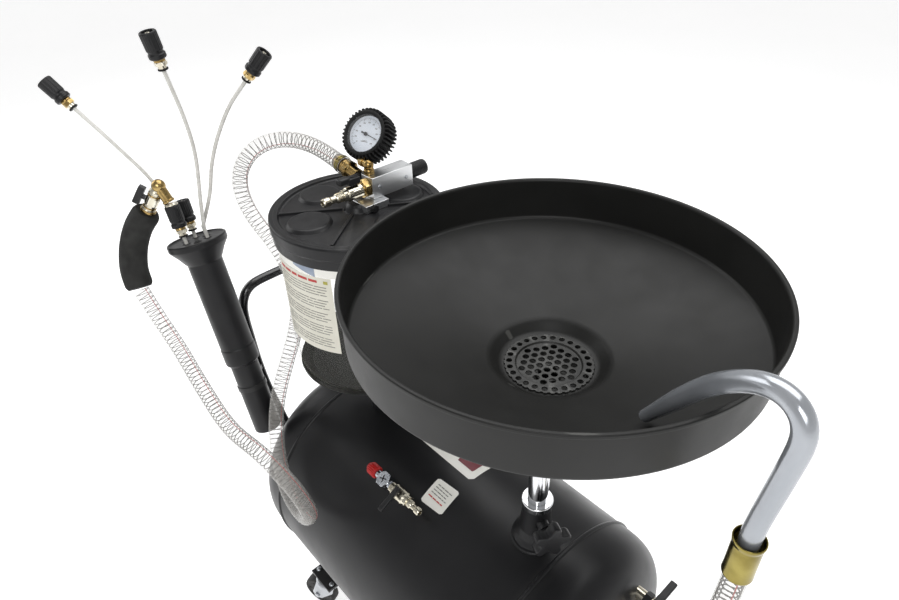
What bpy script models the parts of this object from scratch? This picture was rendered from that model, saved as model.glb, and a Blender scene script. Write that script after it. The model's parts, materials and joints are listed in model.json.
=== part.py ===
"""A mobile waste-oil drainer: pressure tank on casters, drain pan on a telescopic mast, clear
pre-chamber with a vacuum ejector, suction hose with probes, and a discharge hose with a hook pipe.

Units are metres, +Z is up. Positions are given in the machine's own frame: X runs along the tank,
with the mast at the +X end and the push handle at the -X end, the tank's axis is over y = 0 and the
floor is z = 0. Everything hangs under one empty, which centres the machine on its footprint.
"""

import math

import bmesh
import bpy
from mathutils import Quaternion, Vector

GAP = 0.0003  # running and fitting gap between two pieces
FOOTPRINT_CENTRE = Vector((-0.0501, -0.0206, 0.0))

# Tank
TANK_R = 0.204
TANK_WALL = 0.004
TANK_Z = 0.330
SEAM_X = 0.2525
HEAD_DEPTH = 0.105
HEAD_POWER = 3.2

# Mast and pan
MAST_X = 0.2024
MAST_R = 0.0145
SOCKET_R = 0.021
SOCKET_TOP = 0.605
KNOB_Z = 0.585
KNOB_HEADING = math.radians(-25)
KNOB_AXIS = (math.cos(KNOB_HEADING), math.sin(KNOB_HEADING), 0)
PAN_FLOOR_Z = 0.8453
HOOK_ANGLE = math.radians(-16)
HOOK_R = 0.0092
HOOK_MOUTH = 0.0064  # radius at the open end, which is drawn narrower
HOOK_LEG = 0.2945
FERRULE_Z = 0.879

# Chamber and ejector
CHAMBER_X = -0.1751
LID_Z = 0.935
BLOCK_X = -0.1735
VALVE_Z = 0.963

# Hoses
HOSE_R = 0.0135
HOSE_BORE = 0.0144  # inside a ferrule that the hose end sits in
DRAIN_HOSE_R = 0.0113
DRAIN_BORE = 0.0122

# Handle and probe holder
HANDLE_Y = 0.11
HANDLE_R = 0.009
HOLDER_TOP = Vector((-0.447, -0.155, 0.837))
HOLDER_LEAN = math.radians(-16.2)
HOLE_CIRCLE = 0.0205
PROBE_R = 0.0035
PROBE_DEPTH = 0.220
COUPLER_STEPS = [  # (distance past the rod's end, radius)
    (0.0004, 0.0078), (0.0028, 0.0078), (0.0032, 0.0060), (0.0068, 0.0060), (0.0074, 0.0096),
    (0.0165, 0.0096), (0.0170, 0.0125), (0.0545, 0.0125),
]
COUPLER_LENGTH = COUPLER_STEPS[-1][0]
STORED_END = 0.010  # bare rod above the holder under a stored coupler

# Casters
PLATE_Z = 0.103
AXLE_Z = 0.0375
WHEEL_R = 0.0375
TRAIL = 0.028
CASTER_X = 0.215
CASTER_Y = 0.155

# Tank fittings, on a line along the tank 26.5 degrees round from the top
FITTING_TILT = math.radians(26.5)
FITTING_X = -0.03
FITTING_HEIGHT = 0.020

OUTLET = Vector((0.3435, 0.078, 0.458))
OUTLET_DROP_X = 0.401

SUCTION_ROUTE = [
    (-0.2302, 0.0220, 0.9785),
    (-0.2544, 0.0220, 0.9821),
    (-0.3000, 0.0215, 0.9880),
    (-0.3400, 0.0140, 0.9910),
    (-0.3676, 0.0012, 0.9908),
    (-0.3829, -0.0177, 0.9890),
    (-0.3920, -0.0423, 0.9810),
    (-0.4005, -0.0600, 0.9635),
    (-0.4075, -0.0718, 0.9381),
    (-0.4085, -0.0748, 0.9150),
    (-0.4030, -0.0748, 0.8930),
    (-0.3900, -0.0735, 0.8740),
    (-0.3730, -0.0700, 0.8550),
    (-0.3540, -0.0630, 0.8330),
    (-0.3370, -0.0550, 0.7950),
    (-0.3280, -0.0490, 0.7500),
    (-0.3250, -0.0540, 0.7000),
    (-0.3200, -0.0760, 0.6480),
    (-0.3060, -0.1100, 0.6050),
    (-0.2810, -0.1500, 0.5600),
    (-0.2430, -0.1840, 0.4920),
    (-0.1900, -0.2030, 0.4430),
    (-0.1250, -0.2100, 0.4470),
    (-0.0830, -0.2160, 0.5050),
    (-0.0930, -0.2280, 0.5650),
    (-0.1500, -0.2420, 0.6030),
    (-0.2370, -0.2530, 0.6060),
    (-0.3300, -0.2510, 0.6340),
    (-0.4050, -0.2480, 0.6720),
    (-0.4550, -0.2520, 0.7120),
    (-0.4845, -0.2578, 0.7601),
]
DISCHARGE_ROUTE = [
    (0.4855, -0.0812, 0.8765),
    (0.4855, -0.0812, 0.8300),
    (0.4840, -0.0808, 0.7800),
    (0.4850, -0.0820, 0.6600),
    (0.4970, -0.0880, 0.5000),
    (0.5030, -0.0880, 0.3700),
    (0.4950, -0.0720, 0.2650),
    (0.4720, -0.0300, 0.2050),
    (0.4420, 0.0180, 0.1980),
    (0.4140, 0.0600, 0.2450),
    (0.4020, 0.0770, 0.3200),
    (0.4010, 0.0780, 0.4055),
]
GRIP_ROUTE = [
    (-0.4865, -0.2573, 0.7635),
    (-0.503, -0.2530, 0.792),
    (-0.509, -0.2400, 0.830),
    (-0.503, -0.2235, 0.864),
    (-0.490, -0.2060, 0.890),
]

LOOKS = {
    "black_paint": ((0.016, 0.016, 0.018), 0.45, 0.0),
    "black_plastic": ((0.020, 0.020, 0.022), 0.50, 0.0),
    "black_rubber": ((0.012, 0.012, 0.013), 0.80, 0.0),
    "foam": ((0.014, 0.014, 0.015), 0.95, 0.0),
    "chrome": ((0.80, 0.81, 0.83), 0.12, 1.0),
    "zinc": ((0.62, 0.64, 0.66), 0.32, 1.0),
    "yellow_zinc": ((0.62, 0.52, 0.20), 0.30, 1.0),
    "nickel": ((0.70, 0.66, 0.56), 0.22, 1.0),
    "brass": ((0.66, 0.46, 0.16), 0.25, 1.0),
    "aluminium": ((0.72, 0.73, 0.74), 0.38, 1.0),
    "red_plastic": ((0.65, 0.02, 0.02), 0.40, 0.0),
    "clear_plastic": ((0.85, 0.87, 0.86), 0.08, 0.0),
    "clear_hose": ((0.80, 0.78, 0.74), 0.20, 0.0),
    "dial_white": ((0.82, 0.84, 0.86), 0.50, 0.0),
}
UP = Vector((0, 0, 1))


def clear_scene():
    for thing in list(bpy.data.objects):
        bpy.data.objects.remove(thing, do_unlink=True)


def look(name):
    """The material of that name, made on first use."""
    made = bpy.data.materials.get(name)
    if made:
        return made
    colour, roughness, metallic = LOOKS[name]
    made = bpy.data.materials.new(name)
    made.use_nodes = True
    shader = made.node_tree.nodes["Principled BSDF"]
    shader.inputs["Base Color"].default_value = (*colour, 1.0)
    shader.inputs["Roughness"].default_value = roughness
    shader.inputs["Metallic"].default_value = metallic
    made.diffuse_color = (*colour, 1.0)
    return made


def empty(name, at, parent=None, turn=(0, 0, 0)):
    made = bpy.data.objects.new(name, None)
    made.location = at
    made.rotation_euler = turn
    made.parent = parent
    bpy.context.collection.objects.link(made)
    return made


def facing(direction):
    """The Euler rotation that turns local +Z to a direction."""
    return UP.rotation_difference(Vector(direction).normalized()).to_euler()


def placed(name, bm, finish, at=(0, 0, 0), turn=(0, 0, 0), parent=None):
    """An object from a bmesh, shaded smooth with sharp edges kept."""
    bmesh.ops.recalc_face_normals(bm, faces=bm.faces)
    mesh = bpy.data.meshes.new(name)
    bm.to_mesh(mesh)
    bm.free()
    mesh.shade_smooth()
    mesh.set_sharp_from_angle(angle=math.radians(32))
    mesh.materials.append(look(finish))
    made = bpy.data.objects.new(name, mesh)
    made.location = at
    made.rotation_euler = turn
    made.parent = parent or machine
    bpy.context.collection.objects.link(made)
    return made


def turned(name, profile, finish, steps=24, **place):
    """A profile of (radius, height) points spun about local Z. One that doesn't start and end on
    the axis is closed into a ring."""
    bm = bmesh.new()
    corners = [bm.verts.new((radius, 0, height)) for radius, height in profile]
    edges = [bm.edges.new(pair) for pair in zip(corners, corners[1:])]
    if profile[0][0] > 0:
        edges.append(bm.edges.new((corners[-1], corners[0])))
    bmesh.ops.spin(
        bm, geom=corners + edges, cent=(0, 0, 0), axis=(0, 0, 1), angle=math.tau, steps=steps
    )
    bmesh.ops.remove_doubles(bm, verts=bm.verts, dist=1e-6)
    return placed(name, bm, finish, **place)


def rod(name, radius, low, high, finish, steps=16, **place):
    profile = [(0, low), (radius, low), (radius, high), (0, high)]
    return turned(name, profile, finish, steps, **place)


def prism(name, outline, low, high, finish, **place):
    """An outline in local XY, extruded along local Z."""
    bm = bmesh.new()
    face = bm.faces.new([bm.verts.new((x, y, low)) for x, y in outline])
    grown = bmesh.ops.extrude_face_region(bm, geom=[face])["geom"]
    moved = [item for item in grown if isinstance(item, bmesh.types.BMVert)]
    bmesh.ops.translate(bm, vec=(0, 0, high - low), verts=moved)
    return placed(name, bm, finish, **place)


def block(name, low, high, finish, **place):
    outline = [(low[0], low[1]), (high[0], low[1]), (high[0], high[1]), (low[0], high[1])]
    return prism(name, outline, low[2], high[2], finish, **place)


def polygon(radius, sides, start=0.0):
    turns = [start + math.tau * index / sides for index in range(sides)]
    return [(radius * math.cos(turn), radius * math.sin(turn)) for turn in turns]


def bevelled(made, width, segments=2):
    rounding = made.modifiers.new("rounding", "BEVEL")
    rounding.width = width
    rounding.segments = segments
    rounding.limit_method = "ANGLE"
    rounding.angle_limit = math.radians(40)
    return made


def combine(made, operation, tools):
    for tool in tools:
        step = made.modifiers.new(tool.name, "BOOLEAN")
        step.operation = operation
        step.solver = "EXACT"
        step.object = tool
        tool.hide_render = True
        tool.display_type = "WIRE"
    return made


def fuse(made, *tools):
    return combine(made, "UNION", tools)


def cut(made, *tools):
    return combine(made, "DIFFERENCE", tools)


def smooth_line(route, spacing):
    """Points about a spacing apart on a centripetal Catmull-Rom curve through the route."""
    knots = [Vector(point) for point in route]
    knots = [2 * knots[0] - knots[1], *knots, 2 * knots[-1] - knots[-2]]
    fine = []
    for index in range(1, len(knots) - 2):
        p0, p1, p2, p3 = knots[index - 1 : index + 3]
        t1 = (p1 - p0).length ** 0.5
        t2 = t1 + (p2 - p1).length ** 0.5
        t3 = t2 + (p3 - p2).length ** 0.5
        for step in range(24):
            t = t1 + (t2 - t1) * step / 24
            a1 = p0.lerp(p1, t / t1)
            a2 = p1.lerp(p2, (t - t1) / (t2 - t1))
            a3 = p2.lerp(p3, (t - t2) / (t3 - t2))
            b1 = a1.lerp(a2, t / t2)
            b2 = a2.lerp(a3, (t - t1) / (t3 - t1))
            fine.append(b1.lerp(b2, (t - t1) / (t2 - t1)))
    fine.append(knots[-2])
    runs = [0.0]
    for a, b in zip(fine, fine[1:]):
        runs.append(runs[-1] + (b - a).length)
    count = max(2, round(runs[-1] / spacing))
    out, index = [], 0
    for step in range(count + 1):
        want = runs[-1] * step / count
        while index < len(runs) - 2 and runs[index + 1] < want:
            index += 1
        part = (want - runs[index]) / (runs[index + 1] - runs[index])
        out.append(fine[index].lerp(fine[index + 1], min(1.0, part)))
    return out


def bent_tube(name, points, radius, finish, resolution=2, swell=None, parent=None):
    """A round bar along points, whose radius at each point is a multiple of the first."""
    curve = bpy.data.curves.new(name, "CURVE")
    curve.dimensions = "3D"
    curve.bevel_depth = radius
    curve.bevel_resolution = resolution
    curve.use_fill_caps = True
    curve.render_resolution_u = 0
    curve.twist_mode = "MINIMUM"
    spline = curve.splines.new("POLY")
    spline.points.add(len(points) - 1)
    for index, point in enumerate(points):
        spline.points[index].co = (*point, 1.0)
        spline.points[index].radius = swell[index] / radius if swell else 1.0
    curve.materials.append(look(finish))
    made = bpy.data.objects.new(name, curve)
    made.parent = parent or machine
    bpy.context.collection.objects.link(made)
    return made


# --- Tank ------------------------------------------------------------------------------------


def head_curve(radius, depth, count=7):
    """Points (radius, height) from the seam to the crown of a dished head."""
    points = []
    for index in range(count + 1):
        turn = math.pi / 2 * index / count
        across = radius * max(0.0, math.cos(turn)) ** (2 / HEAD_POWER)
        along = depth * math.sin(turn) ** (2 / HEAD_POWER)
        points.append((across if index < count else 0.0, along))
    return points


def tank_outside():
    """A cutter with the barrel's outside, for what stands on it."""
    reach = SEAM_X + 0.1
    tool = rod(
        "tank_outside", TANK_R + 2 * GAP, -reach, reach, "black_paint", 40,
        at=(0, 0, TANK_Z), turn=facing((1, 0, 0)),
    )
    tool.hide_render = True
    tool.display_type = "WIRE"
    return tool


def head_outside():
    tool = turned(
        "head_outside",
        [(0, -0.02), (TANK_R + GAP, -0.02), *head_curve(TANK_R + GAP, HEAD_DEPTH + GAP)],
        "black_paint", 32, at=(SEAM_X, 0, TANK_Z), turn=facing((1, 0, 0)),
    )
    tool.hide_render = True
    tool.display_type = "WIRE"
    return tool


def tank():
    inner = TANK_R - TANK_WALL
    half = SEAM_X - GAP
    barrel = turned(
        "tank_barrel", [(inner, -half), (TANK_R, -half), (TANK_R, half), (inner, half)],
        "black_paint", 40, at=(0, 0, TANK_Z), turn=facing((1, 0, 0)),
    )
    guide_hole = rod(
        "guide_hole", SOCKET_R + 2 * GAP, 0.45, 0.60, "black_paint", 24, at=(MAST_X, 0, 0)
    )
    drain_hole = rod("drain_hole", 0.010, 0.45, 0.60, "black_paint", at=(CHAMBER_X, 0, 0))
    cut(barrel, guide_hole, drain_hole)
    inside = head_curve(inner, HEAD_DEPTH - TANK_WALL)
    profile = [*reversed(head_curve(TANK_R, HEAD_DEPTH)), *inside]
    for name, side in (("tank_front_head", 1), ("tank_rear_head", -1)):
        turned(
            name, profile, "black_paint", 32,
            at=(side * SEAM_X, 0, TANK_Z), turn=facing((side, 0, 0)),
        )


def caster_beam(name, x):
    """A flat bar under the tank with a saddle web up to the barrel."""
    half_width, half_length, top = 0.0325, 0.176, PLATE_Z + 0.006
    plate = block(
        name, (x - half_width, -half_length, PLATE_Z), (x + half_width, half_length, top),
        "black_paint",
    )
    saddle = TANK_R + 0.0015
    reach = math.asin(0.13 / saddle)
    arc = []
    for index in range(13):
        turn = reach * (1 - index / 6)
        arc.append((saddle * math.sin(turn), TANK_Z - saddle * math.cos(turn)))
    outline = [(-0.150, top - 0.001), (0.150, top - 0.001), (0.142, 0.150), *arc, (-0.142, 0.150)]
    web = prism(
        name + "_web", outline, -0.003, 0.003, "black_paint",
        at=(x, 0, 0), turn=(math.pi / 2, 0, math.pi / 2),
    )
    fuse(plate, web)


def caster(name, x, y, heading):
    """A swivel fork with its axle on the swivel axis, and its wheel on the axle."""
    swivel = empty(name + "_swivel", (x, y, PLATE_Z), machine, (0, 0, heading))
    race = [
        (0, -0.0145), (0.020, -0.0145), (0.0270, -0.0105), (0.0270, -0.003), (0.024, -GAP),
        (0, -GAP),
    ]
    fork = turned("fork_" + name, race, "zinc", 16, parent=swivel)
    drop = AXLE_Z - PLATE_Z
    cheek = [
        (0.020, -0.012), (-0.022, -0.012), (-0.040, drop + 0.004), (-0.037, drop - 0.008),
        (-0.028, drop - 0.011), (-0.018, drop - 0.007), (0.016, -0.032),
    ]
    cheeks = prism(
        name + "_cheeks", [(cx, cz) for cx, cz in cheek], -0.017, 0.017, "zinc",
        turn=(math.pi / 2, 0, 0), parent=swivel,
    )
    slot = block(
        name + "_slot", (-0.08, -0.0145, -0.12), (0.05, 0.0145, -0.0205), "zinc", parent=swivel
    )
    pin = rod(
        name + "_axle", 0.004, -0.0205, 0.0205, "zinc", 10,
        at=(-TRAIL, 0, drop), turn=(math.pi / 2, 0, 0), parent=swivel,
    )
    fuse(fork, cheeks)
    cut(fork, slot)
    fuse(fork, pin)
    tread, width = WHEEL_R, 0.0125
    side = [(0.0045, 0.0135), (0.013, 0.0125), (0.029, 0.0105), (0.0345, width), (tread, 0.0085)]
    wheel = [(r, -z) for r, z in side] + [(r, z) for r, z in reversed(side)]
    turned(
        "wheel_" + name, wheel, "black_rubber", 16,
        at=(-TRAIL, 0, drop), turn=(math.pi / 2, 0, 0), parent=swivel,
    )


def casters():
    caster_beam("front_caster_beam", CASTER_X)
    caster_beam("rear_caster_beam", -CASTER_X)
    caster("front_left", CASTER_X, CASTER_Y, math.radians(15))
    caster("front_right", CASTER_X, -CASTER_Y, math.radians(-20))
    caster("rear_left", -CASTER_X, CASTER_Y, math.radians(-25))
    caster("rear_right", -CASTER_X, -CASTER_Y, math.radians(20))


# --- Mast and pan ----------------------------------------------------------------------------


def mast_socket():
    bore = MAST_R + GAP
    socket = turned(
        "mast_socket", [(bore, 0.200), (SOCKET_R, 0.200), (SOCKET_R, SOCKET_TOP), (bore, SOCKET_TOP)],
        "black_paint", at=(MAST_X, 0, 0),
    )
    foot = turned(
        "socket_foot",
        [(0.0195, 0.515), (0.036, 0.515), (0.036, 0.541), (0.034, 0.543), (0.0195, 0.543)],
        "black_paint", at=(MAST_X, 0, 0),
    )
    cut(foot, tank_outside())
    boss = rod(
        "knob_boss", 0.010, 0.018, 0.0335, "black_paint",
        at=(MAST_X, 0, KNOB_Z), turn=facing(KNOB_AXIS),
    )
    thread = rod(
        "knob_thread", 0.0045, 0.010, 0.040, "black_paint",
        at=(MAST_X, 0, KNOB_Z), turn=facing(KNOB_AXIS),
    )
    bore_tool = rod("socket_bore", bore, 0.19, 0.62, "black_paint", 24, at=(MAST_X, 0, 0))
    fuse(socket, foot, boss)
    cut(socket, bore_tool, thread)
    ring_low, ring_high = SOCKET_TOP + GAP, SOCKET_TOP + 0.0115
    turned(
        "mast_ring",
        [(bore, ring_low), (0.0215, ring_low), (0.0225, ring_low + 0.002),
         (0.0225, ring_high - 0.002), (0.0205, ring_high), (bore, ring_high)],
        "chrome", at=(MAST_X, 0, 0),
    )


def star_knob():
    """A five-lobed clamping knob on its screw."""
    outline = []
    for index in range(30):
        turn = math.tau * index / 30
        reach = 0.0235 + 0.0055 * math.cos(5 * turn)
        outline.append((reach * math.cos(turn), reach * math.sin(turn)))
    knob = prism(
        "mast_knob", outline, 0.040, 0.056, "black_plastic",
        at=(MAST_X, 0, KNOB_Z), turn=facing(KNOB_AXIS),
    )
    shank = turned(
        "knob_shank",
        [(0, 0.0157), (0.004, 0.0157), (0.004, 0.0345), (0.011, 0.0345), (0.013, 0.041), (0, 0.041)],
        "black_plastic", 16, at=(MAST_X, 0, KNOB_Z), turn=facing(KNOB_AXIS),
    )
    fuse(bevelled(knob, 0.002, 1), shank)


def mast_tube():
    top = PAN_FLOOR_Z - GAP
    turned(
        "mast_tube",
        [(0.0125, 0.400), (MAST_R, 0.400), (MAST_R, top - 0.012), (0.020, top - 0.009),
         (0.032, top - 0.006), (0.032, top), (0.0125, top)],
        "chrome", at=(MAST_X, 0, 0),
    )


def pan():
    """A round bowl with a sloping floor, a stepped sump and a rolled lip."""
    profile = [
        (0.012, 0.8480), (0.0470, 0.8480), (0.0500, 0.8655), (0.0660, 0.8655), (0.0683, 0.8780),
        (0.2290, 0.9385), (0.2310, 0.9412), (0.2325, 0.9950), (0.2345, 0.9966), (0.2375, 0.9966),
        (0.2383, 0.9958), (0.2383, 0.9922), (0.2375, 0.9914), (0.2352, 0.9914), (0.2337, 0.9395),
        (0.2315, 0.9362), (0.0705, 0.8755), (0.0685, 0.8630), (0.0525, 0.8630), (0.0495, 0.8453),
        (0.012, 0.8453),
    ]
    turned("pan", profile, "black_plastic", 40, at=(MAST_X, 0, 0))
    sieve = [
        (0, 0.8634), (0.0395, 0.8634), (0.0410, 0.8658), (0.0538, 0.8658), (0.0538, 0.8676),
        (0.0402, 0.8676), (0.0387, 0.8650), (0, 0.8650),
    ]
    turned("strainer", sieve, "zinc", 24, at=(MAST_X, 0, 0))


def hook_point(out, z):
    return Vector((MAST_X + out * math.cos(HOOK_ANGLE), out * math.sin(HOOK_ANGLE), z))


def hook_pipe():
    bend = [
        (0.1595, 0.9205), (0.1844, 0.9583), (0.2040, 0.9880), (0.2222, 1.0122), (0.2421, 1.0320),
        (0.2612, 1.0455), (0.2768, 1.0505), (0.2902, 1.0490), (0.2992, 1.0418), (0.3036, 1.0300),
        (0.3034, 1.0134), (0.3015, 0.9909), (0.2988, 0.9598), (0.2960, 0.9301), (HOOK_LEG, 0.9050),
        (HOOK_LEG, FERRULE_Z + 0.002),
    ]
    route = smooth_line([hook_point(out, z) for out, z in bend[:-1]], 0.011)
    route.append(hook_point(*bend[-1]))
    drawn = 5
    swell = [
        HOOK_MOUTH + (HOOK_R - HOOK_MOUTH) * min(1.0, index / drawn) for index in range(len(route))
    ]
    bent_tube("hook_pipe", route, HOOK_R, "zinc", 3, swell)
    over, around = HOOK_R + 2 * GAP, DRAIN_BORE
    turned(
        "hook_ferrule",
        [(around, -0.0265), (0.0136, -0.0265), (0.0136, 0.0190), (0.0142, 0.0200),
         (0.0142, 0.0215), (over, 0.0215), (over, 0.001), (around, 0.001)],
        "yellow_zinc", at=hook_point(HOOK_LEG, FERRULE_Z),
    )


# --- Tank fittings ---------------------------------------------------------------------------


def tank_fittings():
    """A relief valve tee and an air valve, lying along the tank above its surface."""
    down, up = -TANK_R * math.sin(FITTING_TILT), TANK_R * math.cos(FITTING_TILT)
    seat = empty("fitting_seat", (FITTING_X, down, TANK_Z + up), machine, (FITTING_TILT, 0, 0))
    stem = rod("tee_stem", 0.009, -0.006, 0.010, "zinc", 16, parent=seat)
    cut(stem, tank_outside())
    tee = prism("safety_valve", polygon(0.0135, 6), 0.009, 0.031, "zinc", parent=seat)
    arms = rod(
        "tee_arms", 0.0068, -0.0215, 0.0155, "zinc", 14,
        at=(0, 0, FITTING_HEIGHT), turn=facing((1, 0, 0)), parent=seat,
    )
    fuse(bevelled(tee, 0.001, 1), stem, arms)
    ribs = []
    for index in range(24):
        turn = math.tau * index / 24
        reach = 0.0105 - 0.0010 * (index % 2)
        ribs.append((reach * math.cos(turn), reach * math.sin(turn)))
    cap = prism(
        "safety_cap", ribs, 0.0218, 0.0400, "red_plastic",
        at=(0, 0, FITTING_HEIGHT), turn=facing((-1, 0, 0)), parent=seat,
    )
    nose = rod(
        "cap_nose", 0.0070, 0.0390, 0.0440, "red_plastic", 16,
        at=(0, 0, FITTING_HEIGHT), turn=facing((-1, 0, 0)), parent=seat,
    )
    fuse(cap, nose)
    profile = [
        (0, 0.0158), (0.0085, 0.0158), (0.0085, 0.0240), (0.0112, 0.0250), (0.0112, 0.0500),
        (0.0090, 0.0520), (0.0090, 0.0580), (0.0062, 0.0600), (0.0062, 0.0680), (0.0050, 0.0700),
        (0.0050, 0.0740), (0.0060, 0.0760), (0.0060, 0.0860), (0, 0.0860),
    ]
    turned(
        "air_valve", profile, "nickel", 16,
        at=(0, 0, FITTING_HEIGHT), turn=facing((1, 0, 0)), parent=seat,
    )
    pivot = empty("air_lever_pivot", (0.0375, 0, FITTING_HEIGHT), seat)
    lever("air_lever", pivot, 0.0115, 0.038, -math.pi / 2)


def lever(name, pivot, lift, reach, heading, width=0.009, thick=0.005):
    """A flat lever on a stem along the pivot's Z, its blade toward a heading."""
    blade = [
        (-width * 0.8, -width * 0.55), (reach * 0.3, -width / 2), (reach, -width / 2),
        (reach, width / 2), (reach * 0.3, width / 2), (-width * 0.8, width * 0.55),
    ]
    made = prism(
        name, blade, lift + 0.003, lift + 0.003 + thick, "black_plastic",
        turn=(0, 0, heading), parent=pivot,
    )
    stem = rod(name + "_stem", 0.0038, lift, lift + 0.004, "black_plastic", 12, parent=pivot)
    fuse(bevelled(made, 0.0008, 1), stem)


def outlet():
    """The discharge valve on the front head, with an elbow down to a hose ferrule."""
    z = OUTLET.z
    root = rod(
        "outlet_valve", 0.0105, -0.020, OUTLET_DROP_X - OUTLET.x, "nickel", 16,
        at=OUTLET, turn=facing((1, 0, 0)),
    )
    cut(root, head_outside())
    nut = prism(
        "outlet_nut", polygon(0.0136, 6), 0.010, 0.021, "black_plastic",
        at=OUTLET, turn=facing((1, 0, 0)),
    )
    around, outside = DRAIN_BORE, 0.0138
    low = 0.385 - z
    leg = turned(
        "outlet_leg",
        [(0, low + 0.022), (around, low + 0.022), (around, low), (outside, low),
         (outside, low + 0.030), (0.0105, low + 0.034), (0.0105, 0.006), (0.007, 0.0125),
         (0, 0.0125)],
        "nickel", 20, at=(OUTLET_DROP_X, OUTLET.y, z),
    )
    fuse(root, nut, leg)
    pivot = empty("outlet_lever_pivot", (0.374, OUTLET.y, z), machine)
    lever("outlet_lever", pivot, 0.0109, 0.042, math.pi / 2, 0.011, 0.006)


# --- Chamber ---------------------------------------------------------------------------------


def chamber():
    centre = (CHAMBER_X, 0, 0)
    neck = turned(
        "chamber_neck",
        [(0.010, 0.515), (0.016, 0.515), (0.016, 0.570), (0.023, 0.574), (0.023, 0.606),
         (0.016, 0.610), (0.016, 0.640), (0.055, 0.646), (0.058, 0.6547), (0.010, 0.6547)],
        "black_paint", 24, at=centre,
    )
    cut(neck, tank_outside())
    pivot = empty("drain_lever_pivot", (CHAMBER_X, 0, 0.590), machine, (math.pi / 2, 0, 0))
    lever("drain_lever", pivot, 0.0233, 0.045, math.pi, 0.012, 0.006)
    jar = [
        (0.012, 0.6550), (0.0940, 0.6550), (0.1100, 0.6590), (0.1215, 0.6700), (0.1268, 0.6860),
        (0.1245, 0.9147), (0.1205, 0.9147), (0.1228, 0.6870), (0.1180, 0.6728), (0.1080, 0.6628),
        (0.0930, 0.6590), (0.012, 0.6590),
    ]
    turned("chamber_glass", jar, "clear_plastic", 32, at=centre)
    turned(
        "chamber_seal", [(0.1202, 0.9150), (0.1249, 0.9150), (0.1249, 0.9172), (0.1202, 0.9172)],
        "black_rubber", 32, at=centre,
    )
    turned(
        "tie_rod",
        [(0, 0.6593), (0.022, 0.6593), (0.022, 0.6630), (0.006, 0.6650), (0.006, 0.9290),
         (0, 0.9290)],
        "zinc", 12, at=centre,
    )
    lid()


def lid():
    centre = Vector((CHAMBER_X, 0, 0))
    profile = [
        (0, 0.9300), (0.1180, 0.9300), (0.1190, 0.9175), (0.1252, 0.9175), (0.1252, 0.9040),
        (0.1284, 0.9040), (0.1284, 0.9200), (0.1305, 0.9215), (0.1305, 0.9372), (0.1287, 0.9390),
        (0.1170, 0.9390), (0.1130, LID_Z), (0, LID_Z),
    ]
    made = turned("chamber_lid", profile, "black_plastic", 32, at=centre)
    tools = []
    for index, heading in enumerate((192, 263, 12, 83)):
        turn = math.radians(heading)
        at = centre + Vector((0.078 * math.cos(turn), 0.078 * math.sin(turn), LID_Z))
        pad = [(0, -0.002), (0.0300, -0.002), (0.0275, 0.0045), (0, 0.0045)]
        tools.append(turned(f"lid_pad_{index}", pad, "black_plastic", 16, at=at))
    for index, heading in enumerate((56, 127, 236, 307)):
        tools.append(
            block(
                f"lid_rib_{index}", (0.055, -0.0025, -0.002), (0.114, 0.0025, 0.0035),
                "black_plastic", at=centre + Vector((0, 0, LID_Z)),
                turn=(0, 0, math.radians(heading)),
            )
        )
    boss = [(0, -0.002), (0.019, -0.002), (0.0165, 0.007), (0.012, 0.011), (0, 0.011)]
    tools.append(
        turned("lid_boss", boss, "black_plastic", 16, at=centre + Vector((0, 0, LID_Z)))
    )
    fuse(made, *tools)


# --- Ejector and gauge -----------------------------------------------------------------------


def ejector():
    left, right = BLOCK_X - 0.0135, BLOCK_X + 0.0135
    near, far = 0.0210, 0.0965
    foot = block(
        "ejector_foot", (left, -0.0020, LID_Z + GAP), (right + 0.012, 0.0400, 0.9467), "aluminium",
    )
    cut(foot, rod("boss_room", 0.0200, 0.93, 0.95, "aluminium", 24, at=(CHAMBER_X, 0, 0)))
    bevelled(
        block("ejector_block", (left, near, 0.947), (right, far, 0.980), "aluminium"), 0.0008, 1
    )
    start = far + GAP
    ribs = [(0, start)]
    for index in range(5):
        low = start + 0.0066 * index
        ribs += [(0.0120, low), (0.0120, low + 0.0045), (0.0108, low + 0.0050)]
    ribs += [(0.0108, start + 0.0327), (0, start + 0.0327)]
    turned(
        "muffler", ribs, "black_plastic", 16,
        at=(BLOCK_X, 0, VALVE_Z), turn=facing((0, 1, 0)),
    )
    root = -near + GAP
    nipple = [
        (0, root), (0.0092, root), (0.0092, -0.0090), (0.0108, -0.0080), (0.0108, 0.0160),
        (0.0090, 0.0180), (0.0090, 0.0240), (0.0066, 0.0260), (0.0066, 0.0400), (0.0050, 0.0420),
        (0.0050, 0.0470), (0.0064, 0.0490), (0.0064, 0.0580), (0, 0.0580),
    ]
    valve = turned(
        "ejector_valve", nipple, "nickel", 16,
        at=(BLOCK_X, 0, VALVE_Z), turn=facing((0, -1, 0)),
    )
    nut = prism(
        "ejector_nut", polygon(0.0150, 6), root + 0.0002, -0.0100, "brass",
        at=(BLOCK_X, 0, VALVE_Z), turn=facing((0, -1, 0)),
    )
    fuse(valve, nut)
    pivot = empty("ejector_lever_pivot", (BLOCK_X, -0.004, VALVE_Z), machine)
    lever("ejector_lever", pivot, 0.0111, 0.025, -math.pi / 2, 0.013, 0.010)
    elbow_at = Vector((-0.2000, 0.0220, 0.0))
    elbow = rod("hose_elbow", 0.0110, LID_Z + GAP, 0.978, "black_plastic", 16, at=elbow_at)
    around = HOSE_BORE
    sleeve = turned(
        "elbow_sleeve",
        [(0, -0.004), (0.0100, -0.004), (0.0100, 0.0135), (0.0160, 0.0155), (0.0160, 0.050),
         (around, 0.050), (around, 0.030), (0, 0.030)],
        "yellow_zinc", 20, at=elbow_at + Vector((0, 0, 0.974)), turn=facing((-1, 0, 0.15)),
    )
    fuse(elbow, sleeve)


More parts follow.
